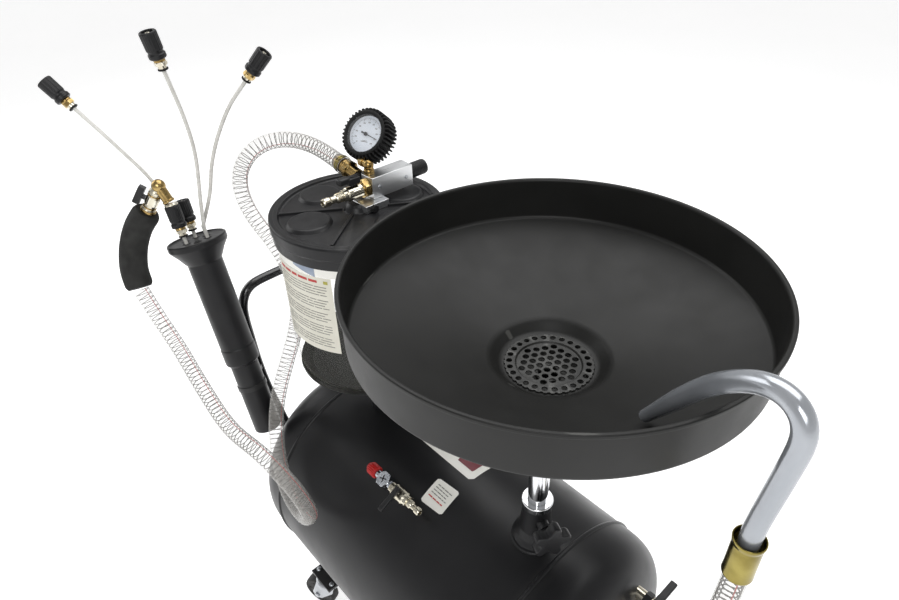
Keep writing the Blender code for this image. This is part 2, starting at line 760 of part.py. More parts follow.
def gauge():
    face = Vector((0.254, -0.736, 0.628)).normalized()
    centre = Vector((-0.2037, 0.0440, 1.0327))
    down = Vector((0.205, -0.594, -0.778))
    down -= face * down.dot(face)
    down.normalize()
    side = face.cross(down)
    turn = UP.rotation_difference(face)
    level = turn @ Vector((1, 0, 0))
    spin = math.atan2(level.cross(side).dot(face), level.dot(side))
    aim = (Quaternion(face, spin) @ turn).to_euler()
    case = empty("gauge_case", centre, machine, aim)
    teeth = []
    for index in range(60):
        turned_by = math.tau * index / 60
        reach = 0.0395 if index % 2 else 0.0350
        teeth.append((reach * math.cos(turned_by), reach * math.sin(turned_by)))
    boot = prism("gauge_boot", teeth, -0.034, -0.002, "black_rubber", parent=case)
    collar = rod("boot_collar", 0.0338, -0.003, 0.000, "black_rubber", 30, parent=case)
    well = rod("boot_well", 0.0290, -0.0100, 0.010, "black_rubber", 30, parent=case)
    fuse(boot, collar)
    cut(boot, well)
    rod("gauge_dial", 0.0284, -0.0097, -0.0082, "dial_white", 30, parent=case)
    rod("gauge_lens", 0.0284, -0.0030, -0.0015, "clear_plastic", 30, parent=case)
    needle = [(-0.007, -0.0012), (0.022, -0.0004), (0.022, 0.0004), (-0.007, 0.0012)]
    pivot = empty("pointer_pivot", (0, 0, 0), case, (0, 0, math.radians(-15)))
    hub = rod("pointer_hub", 0.0028, -0.0079, -0.0050, "black_plastic", 16, parent=pivot)
    fuse(prism("gauge_pointer", needle, -0.0072, -0.0062, "black_plastic", parent=pivot), hub)
    foot = Vector((-0.1785, 0.0300, 0.980 + GAP))
    neck_start = foot + Vector((0, 0, 0.0065))
    neck = centre + down * 0.0460 + face * 0.0010 - neck_start
    stem = turned(
        "gauge_stem", [(0, 0), (0.0080, 0), (0.0080, 0.0085), (0.0060, 0.0110), (0, 0.0110)],
        "brass", 12, at=foot,
    )
    bend = rod(
        "stem_bend", 0.0055, 0, neck.length, "brass", 12, at=neck_start, turn=facing(neck)
    )
    fuse(stem, bend)


# --- Handle, holder and probes ---------------------------------------------------------------


def handle():
    leg = [
        (-0.3590, 0.420), (-0.3780, 0.444), (-0.4100, 0.486), (-0.4300, 0.540), (-0.4370, 0.600),
        (-0.4400, 0.660),
    ]
    corner = 0.035
    top = Vector((-0.438, HANDLE_Y, 0.712))
    half = [Vector((x, HANDLE_Y, z)) for x, z in leg]
    half.append(top + Vector((0.004, -0.004, -0.018)))
    half.append(top + Vector((0.0, -corner * 0.55, -0.001)))
    half.append(top + Vector((-0.001, -corner * 1.6, 0.003)))
    other = [Vector((p.x, -p.y, p.z)) for p in reversed(half)]
    bent_tube("handle", smooth_line([*half, *other], 0.022), HANDLE_R, "black_paint", 2)


def holder_frame():
    return empty("holder_frame", HOLDER_TOP, machine, (0, HOLDER_LEAN, 0))


def probe_hole(index):
    turn = math.radians(-75 + 60 * index)
    return Vector((HOLE_CIRCLE * math.cos(turn), HOLE_CIRCLE * math.sin(turn), 0))


def holder():
    """A leaning tube with a flared top and six probe holes."""
    frame = holder_frame()
    profile = [
        (0, -0.388), (0.0250, -0.388), (0.0250, -0.243), (0.0305, -0.231), (0.0305, -0.042),
        (0.0350, -0.034), (0.0480, -0.014), (0.0500, -0.010), (0.0500, 0.0), (0.0465, 0.0),
        (0.0460, -0.003), (0, -0.003),
    ]
    tube = turned("holder_tube", profile, "black_plastic", 24, parent=frame)
    upper = rod("holder_upper_bore", 0.0275, -0.226, -0.010, "black_plastic", 20, parent=frame)
    lower = rod("holder_lower_bore", 0.0225, -0.384, -0.222, "black_plastic", 20, parent=frame)
    holes = [
        rod(f"probe_hole_{index}", 0.0055, -0.020, 0.010, "black_plastic", 8,
            at=probe_hole(index), parent=frame)
        for index in range(6)
    ]
    cut(tube, upper, lower, *holes)
    ring_s = -0.292
    centre = frame_point((0, 0, ring_s))
    leg_x = -0.4325
    across = Vector((leg_x - centre.x, -HANDLE_Y - centre.y, 0))
    clamp = turned(
        "holder_clamp",
        [(0.0253, -0.012), (0.0285, -0.012), (0.0285, 0.012), (0.0253, 0.012)],
        "black_plastic", 24, at=(0, 0, ring_s), parent=frame,
    )
    tab = block(
        "clamp_tab", (0.0265, -0.008, -0.010),
        (across.length - HANDLE_R - 0.0015, 0.008, 0.010), "black_plastic",
        at=(0, 0, ring_s), turn=(0, 0, math.atan2(across.y, across.x)), parent=frame,
    )
    fuse(clamp, tab)


def frame_point(local):
    """A point of the leaning holder's frame, in the machine's frame."""
    lean = Quaternion((0, 1, 0), HOLDER_LEAN)
    return HOLDER_TOP + lean @ Vector(local)


def coupled_tube(name, hole, free_route, bare_end):
    """A probe: straight inside the holder, then along a free route, with a quick coupler."""
    foot = probe_hole(hole)
    inside = [frame_point(foot + Vector((0, 0, -PROBE_DEPTH * part))) for part in (1, 0.66, 0.33)]
    inside.append(frame_point(foot + Vector((0, 0, bare_end))))
    if free_route:
        route = smooth_line([inside[-1], *free_route], 0.016)
    else:
        route = [inside[-1]]
    line = inside[:-1] + route
    end = line[-1]
    along = (line[-1] - line[-2]).normalized()
    swell = [PROBE_R] * len(line)
    for reach, radius in COUPLER_STEPS:
        line.append(end + along * reach)
        swell.append(radius)
    return bent_tube(name, line, PROBE_R, "black_plastic", 2, swell)


def probes():
    coupled_tube(
        "probe_1", 5,
        [(-0.4850, -0.1720, 0.8900), (-0.5048, -0.1790, 0.9287), (-0.5316, -0.2112, 0.9954),
         (-0.5670, -0.2425, 1.0540)],
        0.020,
    )
    coupled_tube(
        "probe_2", 2,
        [(-0.4370, -0.1355, 0.8950), (-0.4217, -0.1286, 0.9874), (-0.4118, -0.1339, 1.0473),
         (-0.4103, -0.1454, 1.1220)],
        0.014,
    )
    coupled_tube(
        "probe_3", 3,
        [(-0.4434, -0.1147, 0.9050), (-0.4338, -0.1021, 0.9581), (-0.4173, -0.0878, 1.0059),
         (-0.3943, -0.0664, 1.0563), (-0.3731, -0.0427, 1.0924)],
        0.014,
    )
    coupled_tube("probe_4", 0, [], STORED_END)
    coupled_tube("probe_5", 4, [], STORED_END)


def grip():
    bent_tube("suction_grip", smooth_line(GRIP_ROUTE, 0.016), 0.0225, "foam", 3)
    low, high = Vector(GRIP_ROUTE[-1]), Vector((-0.4745, -0.1815, 0.9330))
    along = (high - low).normalized()
    length = (high - low).length
    body = turned(
        "grip_valve",
        [(0, 0.0025), (0.0150, 0.0025), (0.0150, 0.0068), (0.0105, 0.0074), (0.0105, 0.0360),
         (0.0120, 0.0365), (0.0120, 0.0420), (0.0085, 0.0430), (0.0085, length), (0, length)],
        "nickel", 16, at=low, turn=facing(along),
    )
    ball = turned(
        "grip_elbow_ball",
        [(0.0125 * math.sin(math.pi * i / 8), -0.0125 * math.cos(math.pi * i / 8))
         if 0 < i < 8 else (0, -0.0125 if i == 0 else 0.0125) for i in range(9)],
        "brass", 16, at=high,
    )
    stored_top = STORED_END + COUPLER_LENGTH + GAP
    coupler_top = frame_point(probe_hole(0) + Vector((0, 0, stored_top + 0.0002)))
    leg = rod(
        "grip_elbow_leg", 0.0090, 0, (coupler_top - high).length, "brass", 14,
        at=high, turn=facing(coupler_top - high),
    )
    fuse(body, ball, leg)
    clear = block(
        "coupler_room", (-0.02, -0.02, -0.02), (0.02, 0.02, stored_top), "nickel",
        at=probe_hole(0), parent=holder_frame(),
    )
    cut(body, clear)
    out = Vector((-0.5235, -0.564, 0.636))
    out = (out - along * out.dot(along)).normalized()
    pivot = empty("grip_lever_pivot", low + along * 0.022, machine, facing(out))
    bar = bevelled(
        block("grip_lever", (-0.018, -0.006, 0.0160), (0.018, 0.006, 0.0270), "black_plastic",
              turn=(0, 0, math.radians(60)), parent=pivot),
        0.0015, 1,
    )
    stem = rod("grip_lever_stem", 0.0045, 0.0108, 0.0170, "black_plastic", 12, parent=pivot)
    fuse(bar, stem)


def hoses():
    bent_tube("suction_hose", smooth_line(SUCTION_ROUTE, 0.030), HOSE_R, "clear_hose", 2)
    bent_tube("discharge_hose", smooth_line(DISCHARGE_ROUTE, 0.030), DRAIN_HOSE_R, "clear_hose", 2)


clear_scene()
machine = empty("machine", -FOOTPRINT_CENTRE)
tank()
casters()
mast_socket()
star_knob()
mast_tube()
pan()
hook_pipe()
tank_fittings()
outlet()
chamber()
ejector()
gauge()
handle()
holder()
probes()
grip()
hoses()
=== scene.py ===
"""Looks for the mobile waste-oil drainer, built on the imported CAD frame.

Positions are in the machine's own frame, as in part.py: X along the tank with the mast at +X, the
tank's axis over y = 0, the floor at z = 0. AT shifts them into the row frame.
"""

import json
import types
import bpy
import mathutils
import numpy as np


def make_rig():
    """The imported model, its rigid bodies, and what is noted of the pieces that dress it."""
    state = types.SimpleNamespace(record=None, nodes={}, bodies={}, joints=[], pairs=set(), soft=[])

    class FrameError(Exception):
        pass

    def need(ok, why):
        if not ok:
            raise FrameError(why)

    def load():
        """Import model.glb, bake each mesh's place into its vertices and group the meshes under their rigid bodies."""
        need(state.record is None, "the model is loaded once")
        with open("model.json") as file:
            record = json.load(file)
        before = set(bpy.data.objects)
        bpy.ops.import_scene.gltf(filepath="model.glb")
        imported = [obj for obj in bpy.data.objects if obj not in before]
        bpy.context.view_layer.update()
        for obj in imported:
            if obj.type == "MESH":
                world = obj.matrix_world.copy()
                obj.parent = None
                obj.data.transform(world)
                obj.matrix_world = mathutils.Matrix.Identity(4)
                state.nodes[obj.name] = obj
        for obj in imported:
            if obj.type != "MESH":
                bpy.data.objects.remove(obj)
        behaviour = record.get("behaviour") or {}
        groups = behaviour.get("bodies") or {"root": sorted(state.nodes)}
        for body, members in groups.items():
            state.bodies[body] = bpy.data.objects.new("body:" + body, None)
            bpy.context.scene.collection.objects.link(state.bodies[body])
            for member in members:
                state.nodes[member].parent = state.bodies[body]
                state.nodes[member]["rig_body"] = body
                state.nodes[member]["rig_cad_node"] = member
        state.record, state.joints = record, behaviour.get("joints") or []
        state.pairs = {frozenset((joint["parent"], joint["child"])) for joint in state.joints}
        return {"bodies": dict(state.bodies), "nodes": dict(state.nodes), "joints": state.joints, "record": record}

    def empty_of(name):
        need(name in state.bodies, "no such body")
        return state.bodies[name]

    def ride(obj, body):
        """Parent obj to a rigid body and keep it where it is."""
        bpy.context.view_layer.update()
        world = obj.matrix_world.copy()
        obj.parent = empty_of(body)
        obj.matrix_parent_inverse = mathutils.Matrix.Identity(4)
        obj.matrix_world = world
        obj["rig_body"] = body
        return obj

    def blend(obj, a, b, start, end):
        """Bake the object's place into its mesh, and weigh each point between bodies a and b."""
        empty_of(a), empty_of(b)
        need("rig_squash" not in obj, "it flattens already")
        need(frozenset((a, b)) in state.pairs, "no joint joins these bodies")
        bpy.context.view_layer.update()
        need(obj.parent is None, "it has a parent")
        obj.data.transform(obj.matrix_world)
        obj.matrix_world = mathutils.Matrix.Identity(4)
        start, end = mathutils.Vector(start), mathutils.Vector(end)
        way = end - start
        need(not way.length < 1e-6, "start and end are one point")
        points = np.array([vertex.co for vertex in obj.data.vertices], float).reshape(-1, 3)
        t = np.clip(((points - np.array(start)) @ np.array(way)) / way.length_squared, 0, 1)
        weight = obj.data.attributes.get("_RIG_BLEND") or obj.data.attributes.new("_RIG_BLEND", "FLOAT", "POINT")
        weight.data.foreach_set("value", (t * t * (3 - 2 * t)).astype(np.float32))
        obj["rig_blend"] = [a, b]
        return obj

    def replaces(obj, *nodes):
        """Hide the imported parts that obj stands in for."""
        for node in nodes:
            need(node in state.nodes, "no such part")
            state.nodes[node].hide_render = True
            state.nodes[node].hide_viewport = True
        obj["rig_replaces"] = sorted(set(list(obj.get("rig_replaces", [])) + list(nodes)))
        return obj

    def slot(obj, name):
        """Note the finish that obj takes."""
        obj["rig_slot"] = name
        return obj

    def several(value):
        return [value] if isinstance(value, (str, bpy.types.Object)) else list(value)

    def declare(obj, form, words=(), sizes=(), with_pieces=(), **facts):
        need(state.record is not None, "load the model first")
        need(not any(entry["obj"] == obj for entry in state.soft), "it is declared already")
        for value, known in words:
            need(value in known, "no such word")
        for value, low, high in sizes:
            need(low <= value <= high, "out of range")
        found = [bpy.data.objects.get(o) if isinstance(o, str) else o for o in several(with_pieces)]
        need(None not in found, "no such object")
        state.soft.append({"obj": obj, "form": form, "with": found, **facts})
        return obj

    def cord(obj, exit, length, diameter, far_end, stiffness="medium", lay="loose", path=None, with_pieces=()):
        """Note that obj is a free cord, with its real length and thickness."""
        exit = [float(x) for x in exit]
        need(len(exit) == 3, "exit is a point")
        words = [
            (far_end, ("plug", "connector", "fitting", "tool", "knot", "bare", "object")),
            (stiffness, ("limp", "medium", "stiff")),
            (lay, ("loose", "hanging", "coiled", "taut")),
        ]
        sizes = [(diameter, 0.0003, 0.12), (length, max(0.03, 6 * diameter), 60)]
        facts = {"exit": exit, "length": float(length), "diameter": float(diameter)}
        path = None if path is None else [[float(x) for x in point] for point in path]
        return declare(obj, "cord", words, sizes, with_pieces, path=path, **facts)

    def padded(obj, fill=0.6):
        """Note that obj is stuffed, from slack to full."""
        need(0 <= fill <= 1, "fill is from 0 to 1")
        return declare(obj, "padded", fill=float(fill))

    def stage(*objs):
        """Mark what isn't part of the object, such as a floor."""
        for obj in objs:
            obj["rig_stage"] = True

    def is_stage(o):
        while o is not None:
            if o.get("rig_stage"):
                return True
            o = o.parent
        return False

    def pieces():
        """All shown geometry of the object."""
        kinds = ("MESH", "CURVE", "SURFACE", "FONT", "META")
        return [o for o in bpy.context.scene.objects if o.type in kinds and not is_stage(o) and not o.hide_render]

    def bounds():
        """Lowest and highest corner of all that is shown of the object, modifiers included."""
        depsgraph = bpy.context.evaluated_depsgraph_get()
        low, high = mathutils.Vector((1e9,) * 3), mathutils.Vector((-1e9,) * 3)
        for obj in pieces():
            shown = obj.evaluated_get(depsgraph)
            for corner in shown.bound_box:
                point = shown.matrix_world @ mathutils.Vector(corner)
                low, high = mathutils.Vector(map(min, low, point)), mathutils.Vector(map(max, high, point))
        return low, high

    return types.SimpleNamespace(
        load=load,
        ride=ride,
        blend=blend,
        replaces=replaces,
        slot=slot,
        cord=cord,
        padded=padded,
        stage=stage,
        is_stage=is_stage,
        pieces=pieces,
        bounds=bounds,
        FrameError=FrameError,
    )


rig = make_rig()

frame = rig.load()
cad_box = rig.bounds()

import json
import math
import random

import bmesh
import bpy
from mathutils import Matrix, Vector

AT = Vector((0.0501, 0.0206, 0.0))
UP = Vector((0, 0, 1))
GAP = 0.0003  # fitting gap between two pieces
rng = random.Random(11)

# --- Materials -------------------------------------------------------------------------------


# places of a colour mix node's sockets, whose names it shares with other kinds of mix
FIRST_COLOUR, SECOND_COLOUR, MIXED_COLOUR = 6, 7, 2


def new_material(name):
    made = bpy.data.materials.new(name + " look")
    made.use_nodes = True
    return made, made.node_tree.nodes, made.node_tree.links, made.node_tree.nodes["Principled BSDF"]


def noise_node(nodes, links, scale, detail=3.0, stretch=(1, 1, 1), where="Object"):
    coords = nodes.new("ShaderNodeTexCoord")
    mapping = nodes.new("ShaderNodeMapping")
    mapping.inputs["Scale"].default_value = stretch
    links.new(coords.outputs[where], mapping.inputs["Vector"])
    noise = nodes.new("ShaderNodeTexNoise")
    noise.inputs["Scale"].default_value = scale
    noise.inputs["Detail"].default_value = detail
    links.new(mapping.outputs["Vector"], noise.inputs["Vector"])
    return noise


def mixed(nodes, links, factor, first, second):
    """A colour from first to second as the factor rises. Either may be numbers or a socket."""
    mix = nodes.new("ShaderNodeMix")
    mix.data_type = "RGBA"
    for socket, colour in ((mix.inputs[FIRST_COLOUR], first), (mix.inputs[SECOND_COLOUR], second)):
        if isinstance(colour, tuple):
            socket.default_value = (*colour, 1)
        else:
            links.new(colour, socket)
    links.new(factor, mix.inputs[0])
    return mix.outputs[MIXED_COLOUR]


def spread(nodes, links, source, low, high, start=0.3, stop=0.7):
    """A number that runs from low to high as the source runs from start to stop."""
    ramp = nodes.new("ShaderNodeMapRange")
    ramp.inputs["From Min"].default_value = start
    ramp.inputs["From Max"].default_value = stop
    ramp.inputs["To Min"].default_value = low
    ramp.inputs["To Max"].default_value = high
    links.new(source, ramp.inputs["Value"])
    return ramp.outputs["Result"]


def surface(
    name, dark, light, rough, metal=0.0, broad=9.0, fine=900.0, bump=0.05, depth=0.0004,
    stretch=(1, 1, 1), coat=0.0, specular=0.5, wear_and_sheen=None, wear_and_sheen_from=0.62,
):
    """A finish whose colour drifts from dark to light over a broad noise, with a fine bumpy grain
    and its roughness between two values. An edge colour for wear shows on exposed edges; on the
    pan plastic it is a painted highlight along the lip."""
    made, nodes, links, shader = new_material(name)
    drift = noise_node(nodes, links, broad, 5.0, stretch)
    colour = mixed(nodes, links, spread(nodes, links, drift.outputs["Fac"], 0, 1), dark, light)
    # Edge colour on exposed edges: wear on most finishes, and a painted highlight on the pan plastic.
    if wear_and_sheen:
        geometry = nodes.new("ShaderNodeNewGeometry")
        exposed = spread(nodes, links, geometry.outputs["Pointiness"], 0, 0.75, 0.53, wear_and_sheen_from)
        colour = mixed(nodes, links, exposed, colour, wear_and_sheen)
    links.new(colour, shader.inputs["Base Color"])
    smear = noise_node(nodes, links, broad * 4, 4.0, stretch)
    links.new(
        spread(nodes, links, smear.outputs["Fac"], rough[0], rough[1]), shader.inputs["Roughness"]
    )
    grain = noise_node(nodes, links, fine, 3.0, stretch)
    relief = nodes.new("ShaderNodeBump")
    relief.inputs["Strength"].default_value = bump
    relief.inputs["Distance"].default_value = depth
    links.new(grain.outputs["Fac"], relief.inputs["Height"])
    links.new(relief.outputs["Normal"], shader.inputs["Normal"])
    shader.inputs["Metallic"].default_value = metal
    shader.inputs["Coat Weight"].default_value = coat
    shader.inputs["Coat Roughness"].default_value = 0.15
    shader.inputs["Specular IOR Level"].default_value = specular
    return made


def clear(name, tint, alpha, rough, broad=14.0, edge_alpha=0.8, edge_from=0.15):
    """A clear film, nearly unseen face on and denser where it is seen edge on."""
    made, nodes, links, shader = new_material(name)
    haze = noise_node(nodes, links, broad, 4.0)
    paler = tuple(min(1.0, part * 1.12) for part in tint)
    links.new(mixed(nodes, links, haze.outputs["Fac"], tint, paler), shader.inputs["Base Color"])
    links.new(
        spread(nodes, links, haze.outputs["Fac"], rough * 0.7, rough * 1.5),
        shader.inputs["Roughness"],
    )
    facing = nodes.new("ShaderNodeLayerWeight")
    facing.inputs["Blend"].default_value = 0.32
    links.new(
        spread(nodes, links, facing.outputs["Facing"], alpha, edge_alpha, edge_from, 1.0),
        shader.inputs["Alpha"],
    )
    shader.inputs["IOR"].default_value = 1.45
    return made


BLACK_PAINT = surface(
    "satin black paint", (0.009, 0.009, 0.010), (0.014, 0.014, 0.015), (0.30, 0.40), broad=5.0,
    fine=700.0, bump=0.10, depth=0.00025, wear_and_sheen=(0.04, 0.04, 0.04), wear_and_sheen_from=0.70,
    specular=0.28,
)
GLOSS_PAINT = surface(
    "gloss black paint", (0.008, 0.008, 0.009), (0.014, 0.014, 0.015), (0.16, 0.26), broad=9.0,
    fine=500.0, bump=0.06, depth=0.0002, coat=0.4,
)
# The pan plastic's edge colour is a painted highlight that lightens the rim of the lip.
PAN_PLASTIC = surface(
    "pan plastic", (0.010, 0.010, 0.0095), (0.015, 0.015, 0.014), (0.38, 0.48), broad=6.0,
    fine=1500.0, bump=0.22, depth=0.0003, specular=0.27, wear_and_sheen=(0.075, 0.075, 0.070),
    wear_and_sheen_from=0.60,
)
BLACK_PLASTIC = surface(
    "black plastic", (0.008, 0.008, 0.009), (0.014, 0.014, 0.015), (0.30, 0.44), broad=18.0,
    fine=1600.0, bump=0.16, depth=0.0002, wear_and_sheen=(0.05, 0.05, 0.05), wear_and_sheen_from=0.72, specular=0.32,
)
RUBBER = surface(
    "black rubber", (0.006, 0.006, 0.006), (0.012, 0.012, 0.012), (0.50, 0.68), broad=30.0,
    fine=1800.0, bump=0.20, depth=0.0002, specular=0.25,
)
WHEEL_RUBBER = surface(
    "wheel rubber", (0.012, 0.012, 0.012), (0.035, 0.034, 0.032), (0.60, 0.82), broad=24.0,
    fine=1200.0, bump=0.3, depth=0.0003,
)
FOAM = surface(
    "foam", (0.022, 0.022, 0.021), (0.042, 0.042, 0.040), (0.85, 0.97), broad=60.0, fine=1500.0,
    bump=0.85, depth=0.0009, specular=0.25,
)
CHROME = surface(
    "chrome", (0.74, 0.75, 0.77), (0.84, 0.85, 0.86), (0.05, 0.11), 1.0, broad=20.0, fine=300.0,
    bump=0.03, depth=0.0001,
)
ZINC = surface(
    "bright zinc", (0.50, 0.53, 0.58), (0.68, 0.70, 0.74), (0.16, 0.28), 1.0, broad=26.0,
    fine=700.0, bump=0.08, depth=0.0001,
)
PIPE_ZINC = surface(
    "blue zinc", (0.33, 0.35, 0.38), (0.48, 0.50, 0.53), (0.14, 0.26), 0.62, broad=16.0,
    fine=500.0, bump=0.08, depth=0.0001, stretch=(1, 1, 0.25),
)
DULL_ZINC = surface(
    "dull zinc", (0.42, 0.44, 0.47), (0.62, 0.64, 0.66), (0.28, 0.46), 1.0, broad=34.0,
    fine=900.0, bump=0.15, depth=0.00015, wear_and_sheen=(0.75, 0.76, 0.78),
)
YELLOW_ZINC = surface(
    "yellow zinc", (0.19, 0.15, 0.035), (0.36, 0.30, 0.09), (0.12, 0.24), 1.0, broad=42.0,
    fine=700.0, bump=0.08, depth=0.0001,
)
NICKEL = surface(
    "nickel", (0.58, 0.53, 0.42), (0.74, 0.70, 0.58), (0.14, 0.26), 1.0, broad=40.0, fine=800.0,
    bump=0.08, depth=0.0001, wear_and_sheen=(0.82, 0.80, 0.72),
)
BRASS = surface(
    "brass", (0.31, 0.20, 0.070), (0.50, 0.36, 0.15), (0.16, 0.30), 1.0, broad=44.0, fine=900.0,
    bump=0.08, depth=0.0001, wear_and_sheen=(0.86, 0.68, 0.34),
)
ALUMINIUM = surface(
    "satin aluminium", (0.66, 0.67, 0.68), (0.78, 0.79, 0.80), (0.26, 0.40), 1.0, broad=10.0,
    fine=420.0, bump=0.12, depth=0.00012, stretch=(6, 0.5, 6), wear_and_sheen=(0.90, 0.91, 0.92),
)
STEEL_WIRE = surface(
    "spiral steel", (0.055, 0.050, 0.048), (0.16, 0.155, 0.15), (0.25, 0.45), 0.6, broad=60.0,
    fine=900.0, bump=0.05, depth=0.0001,
)
RED_PLASTIC = surface(
    "red plastic", (0.42, 0.012, 0.012), (0.62, 0.022, 0.020), (0.28, 0.40), broad=40.0,
    fine=1200.0, bump=0.10, depth=0.0002, coat=0.2,
)
STRAINER_BLACK = surface(
    "oil-darkened steel", (0.014, 0.014, 0.013), (0.034, 0.034, 0.032), (0.34, 0.50), 0.1,
    broad=40.0, fine=900.0, bump=0.2, depth=0.0002, wear_and_sheen=(0.10, 0.10, 0.095), specular=0.4,
)
ROD_PLASTIC = surface(
    "probe rod nylon", (0.60, 0.59, 0.55), (0.72, 0.71, 0.67), (0.20, 0.34), broad=50.0,
    fine=800.0, bump=0.05, depth=0.0001, specular=0.6,
)
DIAL_WHITE = surface(
    "dial card", (0.72, 0.77, 0.84), (0.80, 0.84, 0.90), (0.45, 0.6), broad=50.0, fine=1500.0,
    bump=0.05, depth=0.00005,
)
PRINT_BLACK = surface(
    "black print", (0.02, 0.02, 0.025), (0.05, 0.05, 0.055), (0.5, 0.6), broad=80.0, bump=0.02
)
PRINT_GREY = surface(
    "grey print", (0.13, 0.13, 0.12), (0.26, 0.25, 0.23), (0.5, 0.6), broad=180.0, bump=0.02
)
PRINT_RED = surface(
    "red print", (0.42, 0.02, 0.02), (0.55, 0.05, 0.04), (0.45, 0.6), broad=90.0, bump=0.02
)
PRINT_MAROON = surface(
    "maroon print", (0.13, 0.010, 0.020), (0.20, 0.018, 0.030), (0.35, 0.5), broad=40.0, bump=0.02
)
PRINT_GOLD = surface(
    "gold print", (0.30, 0.28, 0.04), (0.40, 0.37, 0.06), (0.4, 0.5), broad=90.0, bump=0.02
)
PRINT_BLUE = surface(
    "blue-grey print", (0.22, 0.27, 0.36), (0.32, 0.37, 0.46), (0.4, 0.5), broad=50.0, bump=0.02
)
LABEL_CREAM = surface(
    "cream label", (0.64, 0.62, 0.53), (0.72, 0.70, 0.61), (0.35, 0.5), broad=22.0, fine=1200.0,
    bump=0.04, depth=0.0001,
)
LABEL_WHITE = surface(
    "white label", (0.80, 0.79, 0.73), (0.88, 0.87, 0.82), (0.30, 0.45), broad=22.0, fine=1200.0,
    bump=0.04, depth=0.0001,
)
# Painted shade: a near-black finish for thin discs and strips that stand in for the shadow inside holes, slots and
# recesses.
PAINTED_SHADE = surface(
    "painted shade in hollows", (0.003, 0.003, 0.003), (0.006, 0.006, 0.006), (0.6, 0.8), broad=60.0, bump=0.1
)
JAR_CLEAR = clear("clear jar", (0.22, 0.22, 0.17), 0.035, 0.06, edge_alpha=0.55, edge_from=0.55)
LENS_CLEAR = clear("gauge lens", (0.90, 0.92, 0.94), 0.04, 0.04, edge_alpha=0.4)
HOSE_CLEAR = clear("clear hose", (0.70, 0.68, 0.64), 0.20, 0.16, 60.0, edge_alpha=0.55)

LOOKS_IN_SLOT = {
    "black_paint": ("satin black paint", "gloss black paint", "oil-darkened steel"),
    "black_plastic": ("pan plastic", "black plastic", "black print", "painted shade in hollows"),
    "black_rubber": ("black rubber", "wheel rubber"),
    "foam": ("foam",),
    "chrome": ("chrome",),
    "zinc": ("bright zinc", "blue zinc", "dull zinc", "spiral steel"),
    "yellow_zinc": ("yellow zinc",),
    "nickel": ("nickel",),
    "brass": ("brass",),
    "aluminium": ("satin aluminium",),
    "red_plastic": ("red plastic", "red print", "maroon print"),
    "clear_hose": ("probe rod nylon", "clear hose"),
    "clear_plastic": ("clear jar", "gauge lens"),
    "dial_white": ("dial card", "grey print", "gold print", "blue-grey print", "cream label",
                   "white label"),
}
SLOT_OF = {look: slot for slot, looks in LOOKS_IN_SLOT.items() for look in looks}

# --- Meshes ----------------------------------------------------------------------------------


def finish_piece(name, bm, material, body, sharp=35, where=None, flat_part=None):
    """An object from a bmesh in the machine's frame, riding a body. Faces over flat_part of the
    largest face are shaded flat."""
    bmesh.ops.recalc_face_normals(bm, faces=bm.faces)
    mesh = bpy.data.meshes.new(name)
    bm.to_mesh(mesh)
    bm.free()
    mesh.transform(Matrix.Translation(AT) @ (where or Matrix.Identity(4)))
    mesh.shade_smooth()
    mesh.set_sharp_from_angle(angle=math.radians(sharp))
    if flat_part:
        least = flat_part * max(face.area for face in mesh.polygons)
        for face in mesh.polygons:
            face.use_smooth = face.area < least
    mesh.materials.append(material)
    made = bpy.data.objects.new(name, mesh)
    bpy.context.collection.objects.link(made)
    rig.slot(made, SLOT_OF[material.name.removesuffix(" look")])
    if body:
        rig.ride(made, body)
    return made


def frame_at(origin, axis, side=None):
    """A matrix whose local +Z is the axis, at the origin."""
    axis = Vector(axis).normalized()
    if side is None:
        turn = UP.rotation_difference(axis).to_matrix()
    else:
        side = Vector(side)
        side = (side - axis * side.dot(axis)).normalized()
        turn = Matrix((side, axis.cross(side), axis)).transposed()
    return Matrix.Translation(Vector(origin)) @ turn.to_4x4()


HOLD = 1.1  # a point this many fillet lengths from a corner keeps the flat beside it flat


def rounded(profile, radius, arcs=3):
    """The profile with each inner corner rounded."""
    out = [profile[0]]
    for before, here, after in zip(profile, profile[1:], profile[2:]):
        a, b, c = Vector(before), Vector(here), Vector(after)
        reach = min(radius, (a - b).length * 0.45, (c - b).length * 0.45)
        turn = (a - b).angle(c - b, math.pi) if reach > 1e-6 else math.pi
        if turn > math.radians(172):
            out.append(here)
            continue
        back, ahead = (a - b).normalized(), (c - b).normalized()
        start, stop = b + back * reach, b + ahead * reach
        out.append(tuple(b + back * reach * HOLD))
        for step in range(arcs + 1):
            t = step / arcs
            out.append(tuple(start.lerp(b, t).lerp(b.lerp(stop, t), t)))
        out.append(tuple(b + ahead * reach * HOLD))
    out.append(profile[-1])
    return out


def add_lathe(bm, profile, steps, where=None, ripple=None):
    """A profile of (radius, height) turned round local Z. Ends on the axis close to a point."""
    closed = profile[0][0] > 1e-9
    rings = []
    for radius, height in profile:
        if radius < 1e-9:
            rings.append([bm.verts.new((0, 0, height))])
            continue
        ring = []
        for step in range(steps):
            turn = math.tau * step / steps
            reach = radius + (ripple(turn, height) if ripple else 0.0)
            ring.append(bm.verts.new((reach * math.cos(turn), reach * math.sin(turn), height)))
        rings.append(ring)
    pairs = list(zip(rings, rings[1:]))
    if closed:
        pairs.append((rings[-1], rings[0]))
    for low, high in pairs:
        for step in range(steps):
            after = (step + 1) % steps
            corners = [
                low[step % len(low)], low[after % len(low)],
                high[after % len(high)], high[step % len(high)],
            ]
            face = []
            for corner in corners:
                if corner not in face:
                    face.append(corner)
            if len(face) > 2:
                bm.faces.new(face)
    if where:
        bmesh.ops.transform(bm, matrix=where, verts=[v for ring in rings for v in ring])


